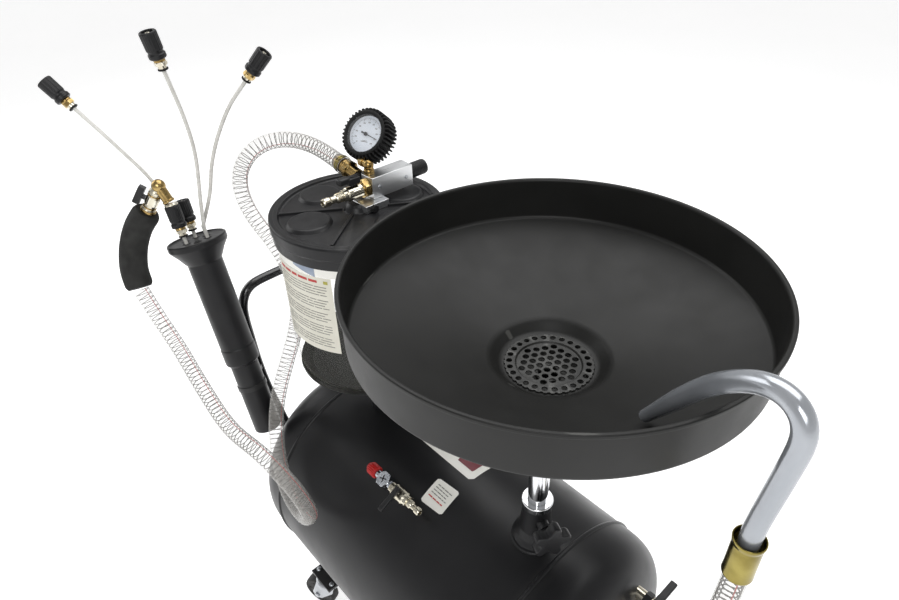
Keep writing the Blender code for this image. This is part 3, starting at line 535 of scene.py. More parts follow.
def lathe(name, profile, material, body, where=None, steps=64, fillet=0.0006, ripple=None):
    bm = bmesh.new()
    add_lathe(bm, rounded(profile, fillet) if fillet else profile, steps, None, ripple)
    return finish_piece(name, bm, material, body, 50, where)


def stitch(bm, rings, capped=True):
    """Faces between rings of one size, and over both ends if capped."""
    for low, high in zip(rings, rings[1:]):
        for step in range(len(low)):
            after = (step + 1) % len(low)
            bm.faces.new((low[step], low[after], high[after], high[step]))
    if capped:
        bm.faces.new(list(reversed(rings[0])))
        bm.faces.new(rings[-1])


def layer(bm, outline, height, resize):
    """The outline at a height. Each point's reach from the middle becomes resize(reach)."""
    ring = []
    for x, y in outline:
        reach = math.hypot(x, y)
        part = resize(reach) / reach
        ring.append(bm.verts.new((x * part, y * part, height)))
    return ring


def add_loft(bm, outline, levels):
    """Layers of one outline: at each (height, inset) the outline shrinks by the inset."""
    stitch(bm, [
        layer(bm, outline, height, lambda reach: max(0.0, reach - inset))
        for height, inset in levels
    ])


def loft(name, outline, levels, material, body, where=None, sharp=35):
    bm = bmesh.new()
    add_loft(bm, outline, levels)
    return finish_piece(name, bm, material, body, sharp, where, 0.5)


def wavy(steps, reach_at):
    """An outline whose reach from the middle follows its turn."""
    turns = [math.tau * index / steps for index in range(steps)]
    return [(reach_at(turn) * math.cos(turn), reach_at(turn) * math.sin(turn)) for turn in turns]


def rod(radius, low, high):
    """The profile of a plain round bar."""
    return [(0, low), (radius, low), (radius, high), (0, high)]


def band(inner, outer, low, high):
    """The profile of a plain ring."""
    return [(inner, low), (outer, low), (outer, high), (inner, high)]


def polygon(radius, sides, start=0.0):
    turns = [start + math.tau * index / sides for index in range(sides)]
    return [(radius * math.cos(turn), radius * math.sin(turn)) for turn in turns]


def nut(name, radius, low, high, material, body, where, sides=6, start=0.0):
    """A hex nut whose corners are chamfered at both ends."""
    outline = []
    corners = polygon(radius, sides, start)
    for a, b in zip(corners, corners[1:] + corners[:1]):
        for step in range(8):
            t = step / 8
            outline.append((a[0] + (b[0] - a[0]) * t, a[1] + (b[1] - a[1]) * t))
    bm = bmesh.new()
    flat = radius * math.cos(math.pi / sides)
    chamfer = (radius - flat) * 0.9
    levels = [(low, chamfer), (low + chamfer * 0.6, 0.0), (high - chamfer * 0.6, 0.0),
              (high, chamfer)]
    stitch(bm, [
        layer(bm, outline, height, lambda reach: min(reach, radius - cut)) for height, cut in levels
    ])
    return finish_piece(name, bm, material, body, 20, where, 0.5)


def add_box(bm, low, high, bevel, where=None, segments=3):
    made = bmesh.ops.create_cube(bm, size=1.0)["verts"]
    low, high = Vector(low), Vector(high)
    size, middle = high - low, (high + low) / 2
    for vert in made:
        vert.co = Vector(tuple(vert.co[i] * size[i] + middle[i] for i in range(3)))
    edges = list({edge for vert in made for edge in vert.link_edges})
    if bevel:
        done = bmesh.ops.bevel(
            bm, geom=edges, offset=bevel, segments=segments, affect="EDGES", profile=0.5
        )
        made = list({vert for face in done["faces"] for vert in face.verts} | {
            vert for vert in made if vert.is_valid})
    if where:
        bmesh.ops.transform(bm, matrix=where, verts=made)


def box(name, low, high, bevel, material, body, where=None):
    bm = bmesh.new()
    add_box(bm, low, high, bevel)
    return finish_piece(name, bm, material, body, 30, where, 0.08)


def measured(points):
    """How far along the line each point lies."""
    runs = [0.0]
    for a, b in zip(points, points[1:]):
        runs.append(runs[-1] + (b - a).length)
    return runs


def places(runs, count):
    """(index, part of the way to the next point) at even steps along a measured line."""
    index = 0
    for step in range(count + 1):
        want = runs[-1] * step / count
        while index < len(runs) - 2 and runs[index + 1] < want:
            index += 1
        yield index, (want - runs[index]) / (runs[index + 1] - runs[index])


CURVE_STEPS = 24  # points between two knots before they are spaced evenly


def smooth_line(route, spacing):
    """Points about a spacing apart on a centripetal Catmull-Rom curve through the route."""
    knots = [Vector(point) for point in route]
    knots = [2 * knots[0] - knots[1], *knots, 2 * knots[-1] - knots[-2]]
    fine = []
    for index in range(1, len(knots) - 2):
        p0, p1, p2, p3 = knots[index - 1 : index + 3]
        t1 = (p1 - p0).length ** 0.5
        t2 = t1 + (p2 - p1).length ** 0.5
        t3 = t2 + (p3 - p2).length ** 0.5
        for step in range(CURVE_STEPS):
            t = t1 + (t2 - t1) * step / CURVE_STEPS
            a1 = p0.lerp(p1, t / t1)
            a2 = p1.lerp(p2, (t - t1) / (t2 - t1))
            a3 = p2.lerp(p3, (t - t2) / (t3 - t2))
            b1 = a1.lerp(a2, t / t2)
            b2 = a2.lerp(a3, (t - t1) / (t3 - t1))
            fine.append(b1.lerp(b2, (t - t1) / (t2 - t1)))
    fine.append(knots[-2])
    runs = measured(fine)
    count = max(2, round(runs[-1] / spacing))
    return [
        fine[index].lerp(fine[index + 1], min(1.0, part)) for index, part in places(runs, count)
    ]


def relaxed(points, rounds):
    """The same line with its kinks eased. The ends stay."""
    for _ in range(rounds):
        points = [points[0], *[
            (a + 2 * b + c) / 4 for a, b, c in zip(points, points[1:], points[2:])
        ], points[-1]]
    return points


def frames_along(points):
    """(point, side, up, direction) carried along a line without twist."""
    out = []
    side = None
    for index, point in enumerate(points):
        before, after = points[max(0, index - 1)], points[min(len(points) - 1, index + 1)]
        along = (after - before).normalized()
        if side is None:
            side = along.orthogonal().normalized()
        side = (side - along * side.dot(along)).normalized()
        out.append((point, side, along.cross(side), along))
    return out


def add_tube(bm, points, radius, sides, capped=True, offset=None, grooves=None):
    """A tube along points. radius is a number or a list, offset is (angle, reach) off the line."""
    rings = []
    for index, (point, side, up, _along) in enumerate(frames_along(points)):
        size = radius[index] if isinstance(radius, list) else radius
        if grooves:
            size += grooves(index)
        centre = point
        if offset:
            centre = point + side * math.cos(offset[0]) * offset[1] + up * math.sin(
                offset[0]) * offset[1]
        rings.append([
            bm.verts.new(centre + side * math.cos(turn) * size + up * math.sin(turn) * size)
            for turn in (math.tau * step / sides for step in range(sides))
        ])
    stitch(bm, rings, capped)


def tube(name, points, radius, material, body, sides=32, **more):
    bm = bmesh.new()
    add_tube(bm, points, radius, sides, **more)
    return finish_piece(name, bm, material, body, 40)


def helix(name, points, reach, wire, pitch, body, material, per_turn=14, sides=4):
    """A wire wound round a line at a reach from it."""
    frames = frames_along(points)
    runs = measured(points)
    count = int(runs[-1] / pitch * per_turn)
    line = []
    for step, (index, part) in enumerate(places(runs, count)):
        p, s, u, _ = frames[index]
        q, s2, u2, _ = frames[index + 1]
        turn = math.tau * step / per_turn
        side, up = s.lerp(s2, part).normalized(), u.lerp(u2, part).normalized()
        line.append(p.lerp(q, part) + side * math.cos(turn) * reach + up * math.sin(turn) * reach)
    return tube(name, line, wire, material, body, sides)


def follow(*pieces):
    """The drain hose and what is in it bend between the tank's valve and the mast's hook."""
    for piece in pieces:
        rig.blend(piece, "tank", "mast", start=HOSE_BEND_FROM, end=HOSE_BEND_TO)


def paint(material, *nodes):
    for node in nodes:
        mesh = frame["nodes"][node]
        if not mesh.material_slots:
            mesh.data.materials.append(material)
        for slot in mesh.material_slots:
            slot.material = material


def add_sheet(bm, rows, columns, lift, thick, point):
    """A thin sheet lying over a surface: point(row, column, height) for each corner of its grid."""
    under, over = (
        [[bm.verts.new(point(i, j, height)) for j in range(columns + 1)] for i in range(rows + 1)]
        for height in (lift, lift + thick)
    )
    for i in range(rows):
        for j in range(columns):
            bm.faces.new((over[i][j], over[i][j + 1], over[i + 1][j + 1], over[i + 1][j]))
            bm.faces.new((under[i][j], under[i + 1][j], under[i + 1][j + 1], under[i][j + 1]))
        for j in (0, columns):
            bm.faces.new((under[i][j], under[i + 1][j], over[i + 1][j], over[i][j]))
    for j in range(columns):
        for i in (0, rows):
            bm.faces.new((under[i][j], under[i][j + 1], over[i][j + 1], over[i][j]))


# --- Tank ------------------------------------------------------------------------------------

TANK_R, TANK_Z, TANK_WALL, SEAM_X = 0.204, 0.330, 0.004, 0.2525
HEAD_DEPTH, HEAD_POWER, HEAD_STEPS = 0.105, 3.2, 26
SKIN = 0.0002  # how far a visible head lies inside its solid
BARREL_STEPS = 36
TANK_AXIS = frame_at((0, 0, TANK_Z), (1, 0, 0), (0, 1, 0))


def head_curve(radius, depth):
    """(radius, depth) from the seam to the middle of a dished head."""
    points = []
    for index in range(HEAD_STEPS + 1):
        turn = math.pi / 2 * index / HEAD_STEPS
        across = radius * max(0.0, math.cos(turn)) ** (2 / HEAD_POWER)
        points.append((across if index < HEAD_STEPS else 0.0,
                       depth * math.sin(turn) ** (2 / HEAD_POWER)))
    return points


def tank():
    inner = TANK_R - TANK_WALL
    half = SEAM_X - GAP
    body = [
        (TANK_R, -half + 2 * half * step / BARREL_STEPS) for step in range(BARREL_STEPS + 1)
    ]
    profile = [(inner, -half), *body, (inner, half)]
    made = lathe("barrel_shell", profile, BLACK_PAINT, "tank", TANK_AXIS, 160, 0)
    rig.replaces(made, "tank_barrel")
    seam = [(TANK_R - 0.0008, -0.0036), (TANK_R + 0.0006, -0.0034), (TANK_R + 0.0018, -0.0018),
            (TANK_R + 0.0023, 0.0), (TANK_R + 0.0018, 0.0018), (TANK_R + 0.0006, 0.0034),
            (TANK_R - 0.0008, 0.0036)]
    for end, side in (("front", 1), ("rear", -1)):
        profile = [*reversed(head_curve(TANK_R - SKIN, HEAD_DEPTH - SKIN)),
                   *head_curve(inner, HEAD_DEPTH - TANK_WALL)]
        where = frame_at((side * SEAM_X, 0, TANK_Z), (side, 0, 0), (0, 1, 0))
        made = lathe(f"{end}_head_shell", profile, BLACK_PAINT, "tank", where, 144, 0)
        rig.replaces(made, f"tank_{end}_head")

        def scales(turn, height):
            wave = math.sin(190 * turn + 340 * abs(height))
            return 0.00008 * wave + 0.00018 * math.sin(11 * turn + side)

        lathe(f"weld_{end}", seam, BLACK_PAINT, "tank", where, 760, 0, scales)


PATCH_COLUMNS, PATCH_ROWS, PATCH_THICK = 14, 18, 0.00025


def wrapped(name, material, low, high, arc_low, arc_high, lift, corner=0.0, skew=0.0):
    """A thin patch on the tank: X from low to high, degrees from the top toward -Y. Its corners
    are rounded by corner and it is turned on the tank by a small skew."""
    wide, tall = (high - low) / 2, math.radians(arc_high - arc_low) / 2 * TANK_R
    middle_x, middle_turn = (low + high) / 2, math.radians(arc_low + arc_high) / 2

    def point(row, column, height):
        v = -tall + 2 * tall * row / PATCH_ROWS
        edge = max(0.0, abs(v) - (tall - corner))
        half = wide - corner + math.sqrt(max(0.0, corner * corner - edge * edge))
        u = -half + 2 * half * column / PATCH_COLUMNS
        turn = middle_turn + v / TANK_R - skew * u / TANK_R
        reach = TANK_R + height
        return (middle_x + u + skew * v, -reach * math.sin(turn), TANK_Z + reach * math.cos(turn))

    bm = bmesh.new()
    add_sheet(bm, PATCH_ROWS, PATCH_COLUMNS, lift, PATCH_THICK, point)
    return finish_piece(name, bm, material, "tank", 40)


def word_runs(start, stop, shortest, longest, gap):
    """Lengths along a line that look like words."""
    at = start
    while at < stop - shortest:
        end = min(stop, at + rng.uniform(shortest, longest))
        yield at, end
        at = end + gap


LABEL_LIFT, PRINT_LIFT = 0.0002, 0.0006  # heights over the tank's paint


def tank_labels():
    wrapped("small_label", LABEL_WHITE, 0.0275, 0.0735, 8.9, 21.9, LABEL_LIFT, 0.004, 0.09)
    for row in range(5):
        arc = 11.6 + 1.45 * row
        red = row > 3
        for count, (a, b) in enumerate(word_runs(0.034, 0.067, 0.004, 0.009, 0.0012)):
            wrapped(f"small_label_text_{row}_{count}", PRINT_RED if red else PRINT_GREY,
                    a, b, arc + (0.4 if red else 0), arc + (0.95 if red else 0.42), PRINT_LIFT)
    wrapped("big_label", LABEL_WHITE, -0.0585, 0.0680, -33.0, 0.6, LABEL_LIFT, 0.006)
    wrapped("big_label_block", PRINT_MAROON, 0.0200, 0.0560, -27.0, -3.6, PRINT_LIFT, 0.001)
    for count, (a, b) in enumerate(((-0.050, -0.043), (-0.039, -0.031), (-0.027, -0.015),
                                    (-0.011, -0.004), (0.000, 0.010))):
        wrapped(f"big_label_bar_{count}", PRINT_BLACK, a, b, -9.6, -5.2, PRINT_LIFT)
    for row in range(4):
        for count, (a, b) in enumerate(word_runs(-0.050, 0.012, 0.006, 0.016, 0.0016)):
            wrapped(f"big_label_text_{row}_{count}", PRINT_GREY, a, b, -15.0 - 3.2 * row,
                    -14.2 - 3.2 * row, PRINT_LIFT)


# --- Mast, socket, knob and pan ----------------------------------------------------------------

MAST_X = 0.2024
MAST = Matrix.Translation((MAST_X, 0, 0))
KNOB_Z = 0.585
KNOB_HEADING = math.radians(-25)
KNOB_AXIS = Vector((math.cos(KNOB_HEADING), math.sin(KNOB_HEADING), 0))


def mast():
    socket = [(0.0148, 0.520), (0.0310, 0.520), (0.0345, 0.5300), (0.0335, 0.5400),
              (0.0290, 0.5480), (0.0245, 0.5600), (0.0222, 0.5760), (0.0212, 0.5900),
              (0.0210, 0.605), (0.0148, 0.605)]
    made = lathe("socket_cone", socket, BLACK_PAINT, "tank", MAST, 96, 0.001)
    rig.replaces(made, "mast_socket")
    guide = band(0.0148, 0.0208, 0.2, 0.521)
    lathe("socket_guide", guide, BLACK_PAINT, "tank", MAST, 48)

    def scales(turn, height):
        return 0.0004 * math.sin(60 * turn + 500 * height)

    bead = [(0.0300, 0.5265), (0.0352, 0.5275), (0.0360, 0.5310), (0.0345, 0.5345),
            (0.0300, 0.5360)]
    lathe("socket_weld", bead, BLACK_PAINT, "tank", MAST, 240, 0, scales)
    boss = [(0, 0.016), (0.0085, 0.016), (0.0085, 0.0290), (0.0105, 0.0290), (0.0105, 0.0335),
            (0, 0.0335)]
    lathe("knob_boss", boss, BLACK_PAINT, "tank", frame_at((MAST_X, 0, KNOB_Z), KNOB_AXIS), 32)
    ring = [(0.0149, 0.6053), (0.0215, 0.6053), (0.0225, 0.6066), (0.0225, 0.6152),
            (0.0215, 0.6165), (0.0149, 0.6165)]
    made = lathe("chrome_collar", ring, CHROME, "tank", MAST, 96, 0.0006)
    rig.replaces(made, "mast_ring")
    tube_profile = [(0.0125, 0.400), (0.0145, 0.400), (0.0145, 0.8330), (0.0200, 0.8360),
                    (0.0320, 0.8390), (0.0320, 0.8448), (0.0125, 0.8448)]
    made = lathe("mast_pipe", tube_profile, CHROME, "mast", MAST, 96)
    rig.replaces(made, "mast_tube")


def star_knob():
    """A clamping knob with five lobes, its rim, a disc of painted shade in its recess, and its screw."""

    def lobes(turn):
        wave = math.cos(5 * turn)
        return 0.0230 + 0.0058 * (abs(wave) ** 0.75) * (1 if wave > 0 else -1)

    outline = wavy(140, lobes)
    where = frame_at((MAST_X, 0, KNOB_Z), KNOB_AXIS, (0, 0.3, 1))
    levels = [(0.0402, 0.0020), (0.0406, 0.0010), (0.0415, 0.0003), (0.0430, 0.0), (0.0530, 0.0),
              (0.0545, 0.0004), (0.0556, 0.0014), (0.0560, 0.0028)]
    made = loft("star_knob", outline, levels, BLACK_PLASTIC, "knob", where, 30)
    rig.replaces(made, "mast_knob")
    shank = [(0, 0.0345), (0.0100, 0.0345), (0.0130, 0.0405), (0, 0.0405)]
    lathe("star_knob_shank", shank, BLACK_PLASTIC, "knob", where, 32)
    cap = [(0.0085, 0.0552), (0.0110, 0.0552), (0.0106, 0.0560), (0.0090, 0.0560)]
    lathe("star_knob_rim", cap, BLACK_PLASTIC, "knob", where, 48, 0.0002)
    # A thin disc of painted shade stands for the hollow inside the knob's rim.
    lathe("star_knob_recess_shade", rod(0.0088, 0.0555, 0.0559), PAINTED_SHADE, "knob", where, 40, 0)
    lathe("star_knob_screw", rod(0.0036, 0.0205, 0.0400), DULL_ZINC, "knob", where, 24, 0)


def pan():
    profile = [
        (0.0120, 0.8480), (0.0470, 0.8480), (0.0500, 0.8655), (0.0560, 0.8656), (0.0600, 0.8672),
        (0.0700, 0.8772), (0.0740, 0.8796), (0.2290, 0.9385), (0.2310, 0.9412), (0.2325, 0.9940),
        (0.2340, 0.9964), (0.2374, 0.9964), (0.2383, 0.9955), (0.2383, 0.9922), (0.2374, 0.9914),
        (0.2352, 0.9914), (0.2337, 0.9395),
        (0.2315, 0.9362), (0.0705, 0.8755), (0.0685, 0.8630), (0.0525, 0.8630), (0.0495, 0.8453),
        (0.0120, 0.8453),
    ]
    fine = rounded(profile, 0.0022, 4)
    dense = []
    for a, b in zip(fine, fine[1:]):
        cuts = max(1, int((Vector(b) - Vector(a)).length / 0.02))
        for step in range(cuts):
            dense.append(tuple(Vector(a).lerp(Vector(b), step / cuts)))
    dense.append(fine[-1])

    def sag(turn, height):
        return -0.0007 * abs(math.sin(turn + 0.6)) ** 2 if height > 0.95 else 0.0

    made = lathe("pan_bowl", dense, PAN_PLASTIC, "pan", MAST, 168, 0, sag)
    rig.replaces(made, "pan")
    hub = band(0.0125, 0.0165, 0.8484, 0.8520)
    lathe("pan_hub", hub, STRAINER_BLACK, "pan", MAST, 40)


HOLE_PITCH, HOLE_R, HOLE_FIELD = 0.0112, 0.0042, 0.0340
PUNCH_Z, PUNCH_HALF = 0.8655, 0.006
RIM_HOLES = (  # (count, circle, radius, turned by this part of a step)
    (26, 0.0472, 0.0037, 0.0),
    (40, 0.0548, 0.0027, 0.5),
)


def add_punch(bm, x, y, radius):
    add_lathe(bm, rod(radius, -PUNCH_HALF, PUNCH_HALF), 16, Matrix.Translation((x, y, PUNCH_Z)))


def strainer():
    """A stepped disc with rows of round holes, cut by one Boolean. The outermost ring of holes
    bites scallops out of its edge."""
    profile = [(0, 0.8634), (0.0395, 0.8634), (0.0410, 0.8658), (0.0535, 0.8658),
               (0.0538, 0.8664), (0.0535, 0.8676), (0.0402, 0.8676), (0.0387, 0.8650),
               (0, 0.8650)]
    made = lathe("strainer_disc", profile, STRAINER_BLACK, "strainer", MAST, 96, 0.0006)
    bm = bmesh.new()
    for row in range(-4, 5):
        for column in range(-4, 5):
            x = HOLE_PITCH * (column + 0.5 * (row % 2))
            y = HOLE_PITCH * row * math.sqrt(3) / 2
            if math.hypot(x, y) < HOLE_FIELD:
                add_punch(bm, x, y, HOLE_R)
    for count, circle, radius, ahead in RIM_HOLES:
        for index in range(count):
            turn = math.tau * (index + ahead) / count
            add_punch(bm, circle * math.cos(turn), circle * math.sin(turn), radius)
    cutter = bpy.data.objects.new("strainer_holes", bpy.data.meshes.new("strainer_holes"))
    bmesh.ops.recalc_face_normals(bm, faces=bm.faces)
    bm.to_mesh(cutter.data)
    bm.free()
    cutter.data.transform(Matrix.Translation(AT) @ MAST)
    bpy.context.collection.objects.link(cutter)
    step = made.modifiers.new("holes", "BOOLEAN")
    step.operation = "DIFFERENCE"
    step.solver = "EXACT"
    step.object = cutter
    bpy.context.view_layer.update()
    cut_mesh = bpy.data.meshes.new_from_object(
        made.evaluated_get(bpy.context.evaluated_depsgraph_get())
    )
    made.modifiers.clear()
    made.data = cut_mesh
    made.data.set_sharp_from_angle(angle=math.radians(40))
    bpy.data.objects.remove(cutter, do_unlink=True)
    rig.replaces(made, "strainer")


# --- Hook pipe and drain hose ------------------------------------------------------------------

HOOK_ANGLE = math.radians(-16)
HOOK_R, HOOK_MOUTH, HOOK_LEG, FERRULE_Z = 0.0092, 0.0064, 0.2945, 0.879
HOOK_STEP, HOOK_TAPER, HOOK_WALL, HOOK_SIDES = 0.0035, 0.055, 0.0012, 40
EASING = 14  # rounds that take the kinks out of a pipe or hose
DRAIN_R = 0.0113
HOSE_BEND_FROM = Vector((0.49, -0.08, 0.42)) + AT
HOSE_BEND_TO = Vector((0.49, -0.08, 0.83)) + AT


def hook_point(out, z):
    return Vector((MAST_X + out * math.cos(HOOK_ANGLE), out * math.sin(HOOK_ANGLE), z))


def hook():
    bend = [
        (0.1595, 0.9205), (0.1844, 0.9583), (0.2040, 0.9880), (0.2222, 1.0122), (0.2421, 1.0320),
        (0.2612, 1.0455), (0.2768, 1.0505), (0.2902, 1.0490), (0.2992, 1.0418), (0.3036, 1.0300),
        (0.3034, 1.0134), (0.3015, 0.9909), (0.2988, 0.9598), (0.2960, 0.9301), (HOOK_LEG, 0.9050),
        (HOOK_LEG, FERRULE_Z + 0.002),
    ]
    line = relaxed(smooth_line([hook_point(out, z) for out, z in bend], HOOK_STEP), EASING)
    radii = [
        HOOK_MOUTH + (HOOK_R - HOOK_MOUTH) * min(1.0, index * HOOK_STEP / HOOK_TAPER)
        for index in range(len(line))
    ]
    bm = bmesh.new()
    add_tube(bm, line, radii, HOOK_SIDES, capped=False)
    add_tube(bm, line, [radius - HOOK_WALL for radius in radii], HOOK_SIDES, capped=False)
    bm.verts.ensure_lookup_table()
    inside = len(line) * HOOK_SIDES
    for end in (0, (len(line) - 1) * HOOK_SIDES):
        for step in range(HOOK_SIDES):
            a, b = end + step, end + (step + 1) % HOOK_SIDES
            corners = (a, b, inside + b, inside + a)
            bm.faces.new([bm.verts[corner] for corner in corners])
    made = finish_piece("hook_tube", bm, PIPE_ZINC, "mast", 40)
    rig.replaces(made, "hook_pipe")
    ferrule = [(0.0122, -0.0265), (0.0132, -0.0265), (0.0136, -0.0250), (0.0132, -0.0140),
               (0.0132, 0.0150), (0.0141, 0.0185), (0.0142, 0.0205), (0.0136, 0.0214),
               (0.0127, 0.0205), (0.0120, 0.0150), (0.0100, 0.0120), (0.0098, 0.001),
               (0.0122, 0.001)]
    where = Matrix.Translation(hook_point(HOOK_LEG, FERRULE_Z))
    made = lathe("flared_ferrule", ferrule, YELLOW_ZINC, "mast", where, 72, 0.0005)
    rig.replaces(made, "hook_ferrule")


DISCHARGE_ROUTE = [
    (0.4855, -0.0812, 0.8765), (0.4855, -0.0812, 0.8300), (0.4840, -0.0808, 0.7800),
    (0.4850, -0.0820, 0.6600), (0.4970, -0.0880, 0.5000), (0.5030, -0.0880, 0.3700),
    (0.4950, -0.0720, 0.2650), (0.4720, -0.0300, 0.2050), (0.4420, 0.0180, 0.1980),
    (0.4140, 0.0600, 0.2450), (0.4020, 0.0770, 0.3200), (0.4010, 0.0780, 0.4055),
]
SUCTION_ROUTE = [
    (-0.2302, 0.0220, 0.9785), (-0.2544, 0.0220, 0.9821), (-0.3000, 0.0215, 0.9880),
    (-0.3400, 0.0140, 0.9910), (-0.3676, 0.0012, 0.9908), (-0.3829, -0.0177, 0.9890),
    (-0.3920, -0.0423, 0.9810), (-0.4005, -0.0600, 0.9635), (-0.4075, -0.0718, 0.9381),
    (-0.4085, -0.0748, 0.9150), (-0.4030, -0.0748, 0.8930), (-0.3900, -0.0735, 0.8740),
    (-0.3730, -0.0700, 0.8550), (-0.3540, -0.0630, 0.8330), (-0.3370, -0.0550, 0.7950),
    (-0.3280, -0.0490, 0.7500), (-0.3250, -0.0540, 0.7000), (-0.3200, -0.0760, 0.6480),
    (-0.3060, -0.1100, 0.6050), (-0.2810, -0.1500, 0.5600), (-0.2430, -0.1840, 0.4920),
    (-0.1900, -0.2030, 0.4430), (-0.1250, -0.2100, 0.4470), (-0.0830, -0.2160, 0.5050),
    (-0.0930, -0.2280, 0.5650), (-0.1500, -0.2420, 0.6030), (-0.2370, -0.2530, 0.6060),
    (-0.3300, -0.2510, 0.6340), (-0.4050, -0.2480, 0.6720), (-0.4550, -0.2520, 0.7120),
    (-0.4845, -0.2578, 0.7601),
]
HOSE_R = 0.0135
HOSE_STEP = 0.006
RED_TURN, DARK_TURN = 4.9, 5.9  # where the lines along a hose lie round it


def hose(name, route, radius, body, pitch):
    """A clear hose with a steel spiral in its wall, and a red and a dark line along it."""
    line = relaxed(smooth_line(route, HOSE_STEP), EASING)
    shell = tube(name + "_shell", line, radius - 0.0003, HOSE_CLEAR, body, 28, capped=False)
    spiral = helix(name + "_spiral", line, radius - 0.0020, 0.00065, pitch, body, STEEL_WIRE)
    red = tube(name + "_red_line", line, 0.00055, PRINT_RED, body, 5,
               offset=(RED_TURN, radius - 0.0010))
    dark = tube(name + "_dark_line", line, 0.00045, PRINT_BLACK, body, 5,
                offset=(DARK_TURN, radius - 0.0010))
    return line, shell, [spiral, red, dark]


def hang(shell, trim, line, radius):
    """Declares a hose as a cord that hangs between two held ends."""
    path = [tuple(point + AT) for point in line]
    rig.cord(
        shell, exit=path[0], length=measured(line)[-1], diameter=2 * radius, far_end="object",
        stiffness="medium", lay="hanging", path=path, with_pieces=trim,
    )


def hoses():
    line, shell, trim = hose("suction", SUCTION_ROUTE, HOSE_R, "tank", 0.0080)
    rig.replaces(shell, "suction_hose")
    hang(shell, trim, line, HOSE_R)
    line, shell, trim = hose("drain", DISCHARGE_ROUTE, DRAIN_R, None, 0.0072)
    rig.replaces(shell, "discharge_hose")
    follow(shell, *trim)
    hang(shell, trim, line, DRAIN_R)


# --- Tank fittings and outlet -----------------------------------------------------------------

FITTING_TILT = math.radians(26.5)
FITTING_UP = Vector((0, -math.sin(FITTING_TILT), math.cos(FITTING_TILT)))
FITTING = Vector((-0.03, 0, TANK_Z)) + FITTING_UP * (TANK_R + 0.020)
OUTLET = Vector((0.3435, 0.078, 0.458))
OUTLET_DROP_X = 0.401


def flat_lever(name, node, body, pivot, up, heading, lift, reach, width, thick, hump=0.0):
    """A flat lever on its stem: an eye over the stem, a cranked neck and a rounded blade."""
    where = frame_at(pivot, up, heading)
    bm = bmesh.new()
    base = lift + 0.003
    add_box(bm, (-width * 0.75, -width * 0.52, base), (width * 0.75, width * 0.52, base + thick),
            0.0009)
    add_box(bm, (width * 0.5, -width / 2, base + hump), (reach, width / 2, base + thick + hump),
            min(width, thick) * 0.28)
    add_lathe(bm, rod(0.0026, base + thick - 0.0002, base + thick + 0.0010), 18)
    add_lathe(bm, rod(0.0037, lift, base + 0.001), 20)
    made = finish_piece(name, bm, BLACK_PLASTIC, body, 30, where, 0.12)
    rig.replaces(made, node)


def fittings():
    along = frame_at(FITTING, (1, 0, 0), FITTING_UP)
    up = frame_at(FITTING, FITTING_UP, (1, 0, 0))
    stem = [(0, -0.021), (0.0090, -0.0195), (0.0090, -0.010), (0, -0.010)]
    made = nut("tee_hex", 0.0135, -0.0108, 0.0110, ZINC, "tank", up)
    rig.replaces(made, "safety_valve")
    lathe("tee_stem", stem, ZINC, "tank", up, 40)
    lathe("tee_arms", rod(0.0066, -0.0212, 0.0152), ZINC, "tank", along, 32)
    # Two crossed strips of painted shade on the hex stand for the shadow in its slots.
    for index, turn in enumerate((0.4, 0.4 + math.pi / 2)):
        slot_at = up @ Matrix.Rotation(turn, 4, "Z")
        box(f"tee_recess_shade_{index}", (-0.0062, -0.0010, 0.0106), (0.0062, 0.0010, 0.0113), 0.0002,
            PAINTED_SHADE, "tank", slot_at)
    teeth = wavy(144, lambda turn: 0.0098 + 0.0007 * max(-1, min(1, 2.2 * math.sin(18 * turn))))
    back = frame_at(FITTING, (-1, 0, 0), FITTING_UP)
    levels = [(0.0220, 0.0012), (0.0226, 0.0), (0.0380, 0.0), (0.0398, 0.0012), (0.0400, 0.0030)]
    made = loft("ribbed_cap", teeth, levels, RED_PLASTIC, "safety_cap", back, 30)
    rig.replaces(made, "safety_cap")
    ring = band(0.0050, 0.0070, 0.0396, 0.0432)
    lathe("ribbed_cap_ring", ring, RED_PLASTIC, "safety_cap", back, 32)
    body = [(0, 0.0158), (0.0085, 0.0158), (0.0085, 0.0240), (0.0112, 0.0250), (0.0112, 0.0500),
            (0.0092, 0.0520), (0.0092, 0.0580), (0, 0.0580)]
    made = lathe("air_valve_body", body, NICKEL, "tank", along, 48)
    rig.replaces(made, "air_valve")
    nut("air_valve_hex", 0.0118, 0.0290, 0.0420, NICKEL, "tank", along)
    nipple("air_nipple", "tank", along, 0.0575, 0.0860, 0.0066)
    flat_lever("air_valve_lever", "air_lever", "air_lever", FITTING + Vector((0.0375, 0, 0)),
               FITTING_UP, Vector((0, -math.cos(FITTING_TILT), -math.sin(FITTING_TILT))),
               0.0115, 0.038, 0.0090, 0.0050)


def nipple(name, body, where, low, high, radius):
    """A plug nipple: knurled shoulder, waist, and a rounded nose with a bore."""
    span = high - low
    shoulder, waist, nose = radius, radius * 0.74, radius * 0.95
    profile = [
        (0, low), (shoulder, low), (shoulder, low + span * 0.30), (waist * 1.06, low + span * 0.36),
        (waist, low + span * 0.42), (waist, low + span * 0.60), (nose, low + span * 0.68),
        (nose, high - 0.0022), (nose * 0.82, high), (nose * 0.55, high), (nose * 0.50, high - 0.006),
        (0, high - 0.006),
    ]

    def knurl(turn, height):
        if height > low + span * 0.29 or height < low + 0.0006:
            return 0.0
        return 0.00028 * math.sin(26 * turn)

    return lathe(name, profile, NICKEL, body, where, 104, 0.0004, knurl)


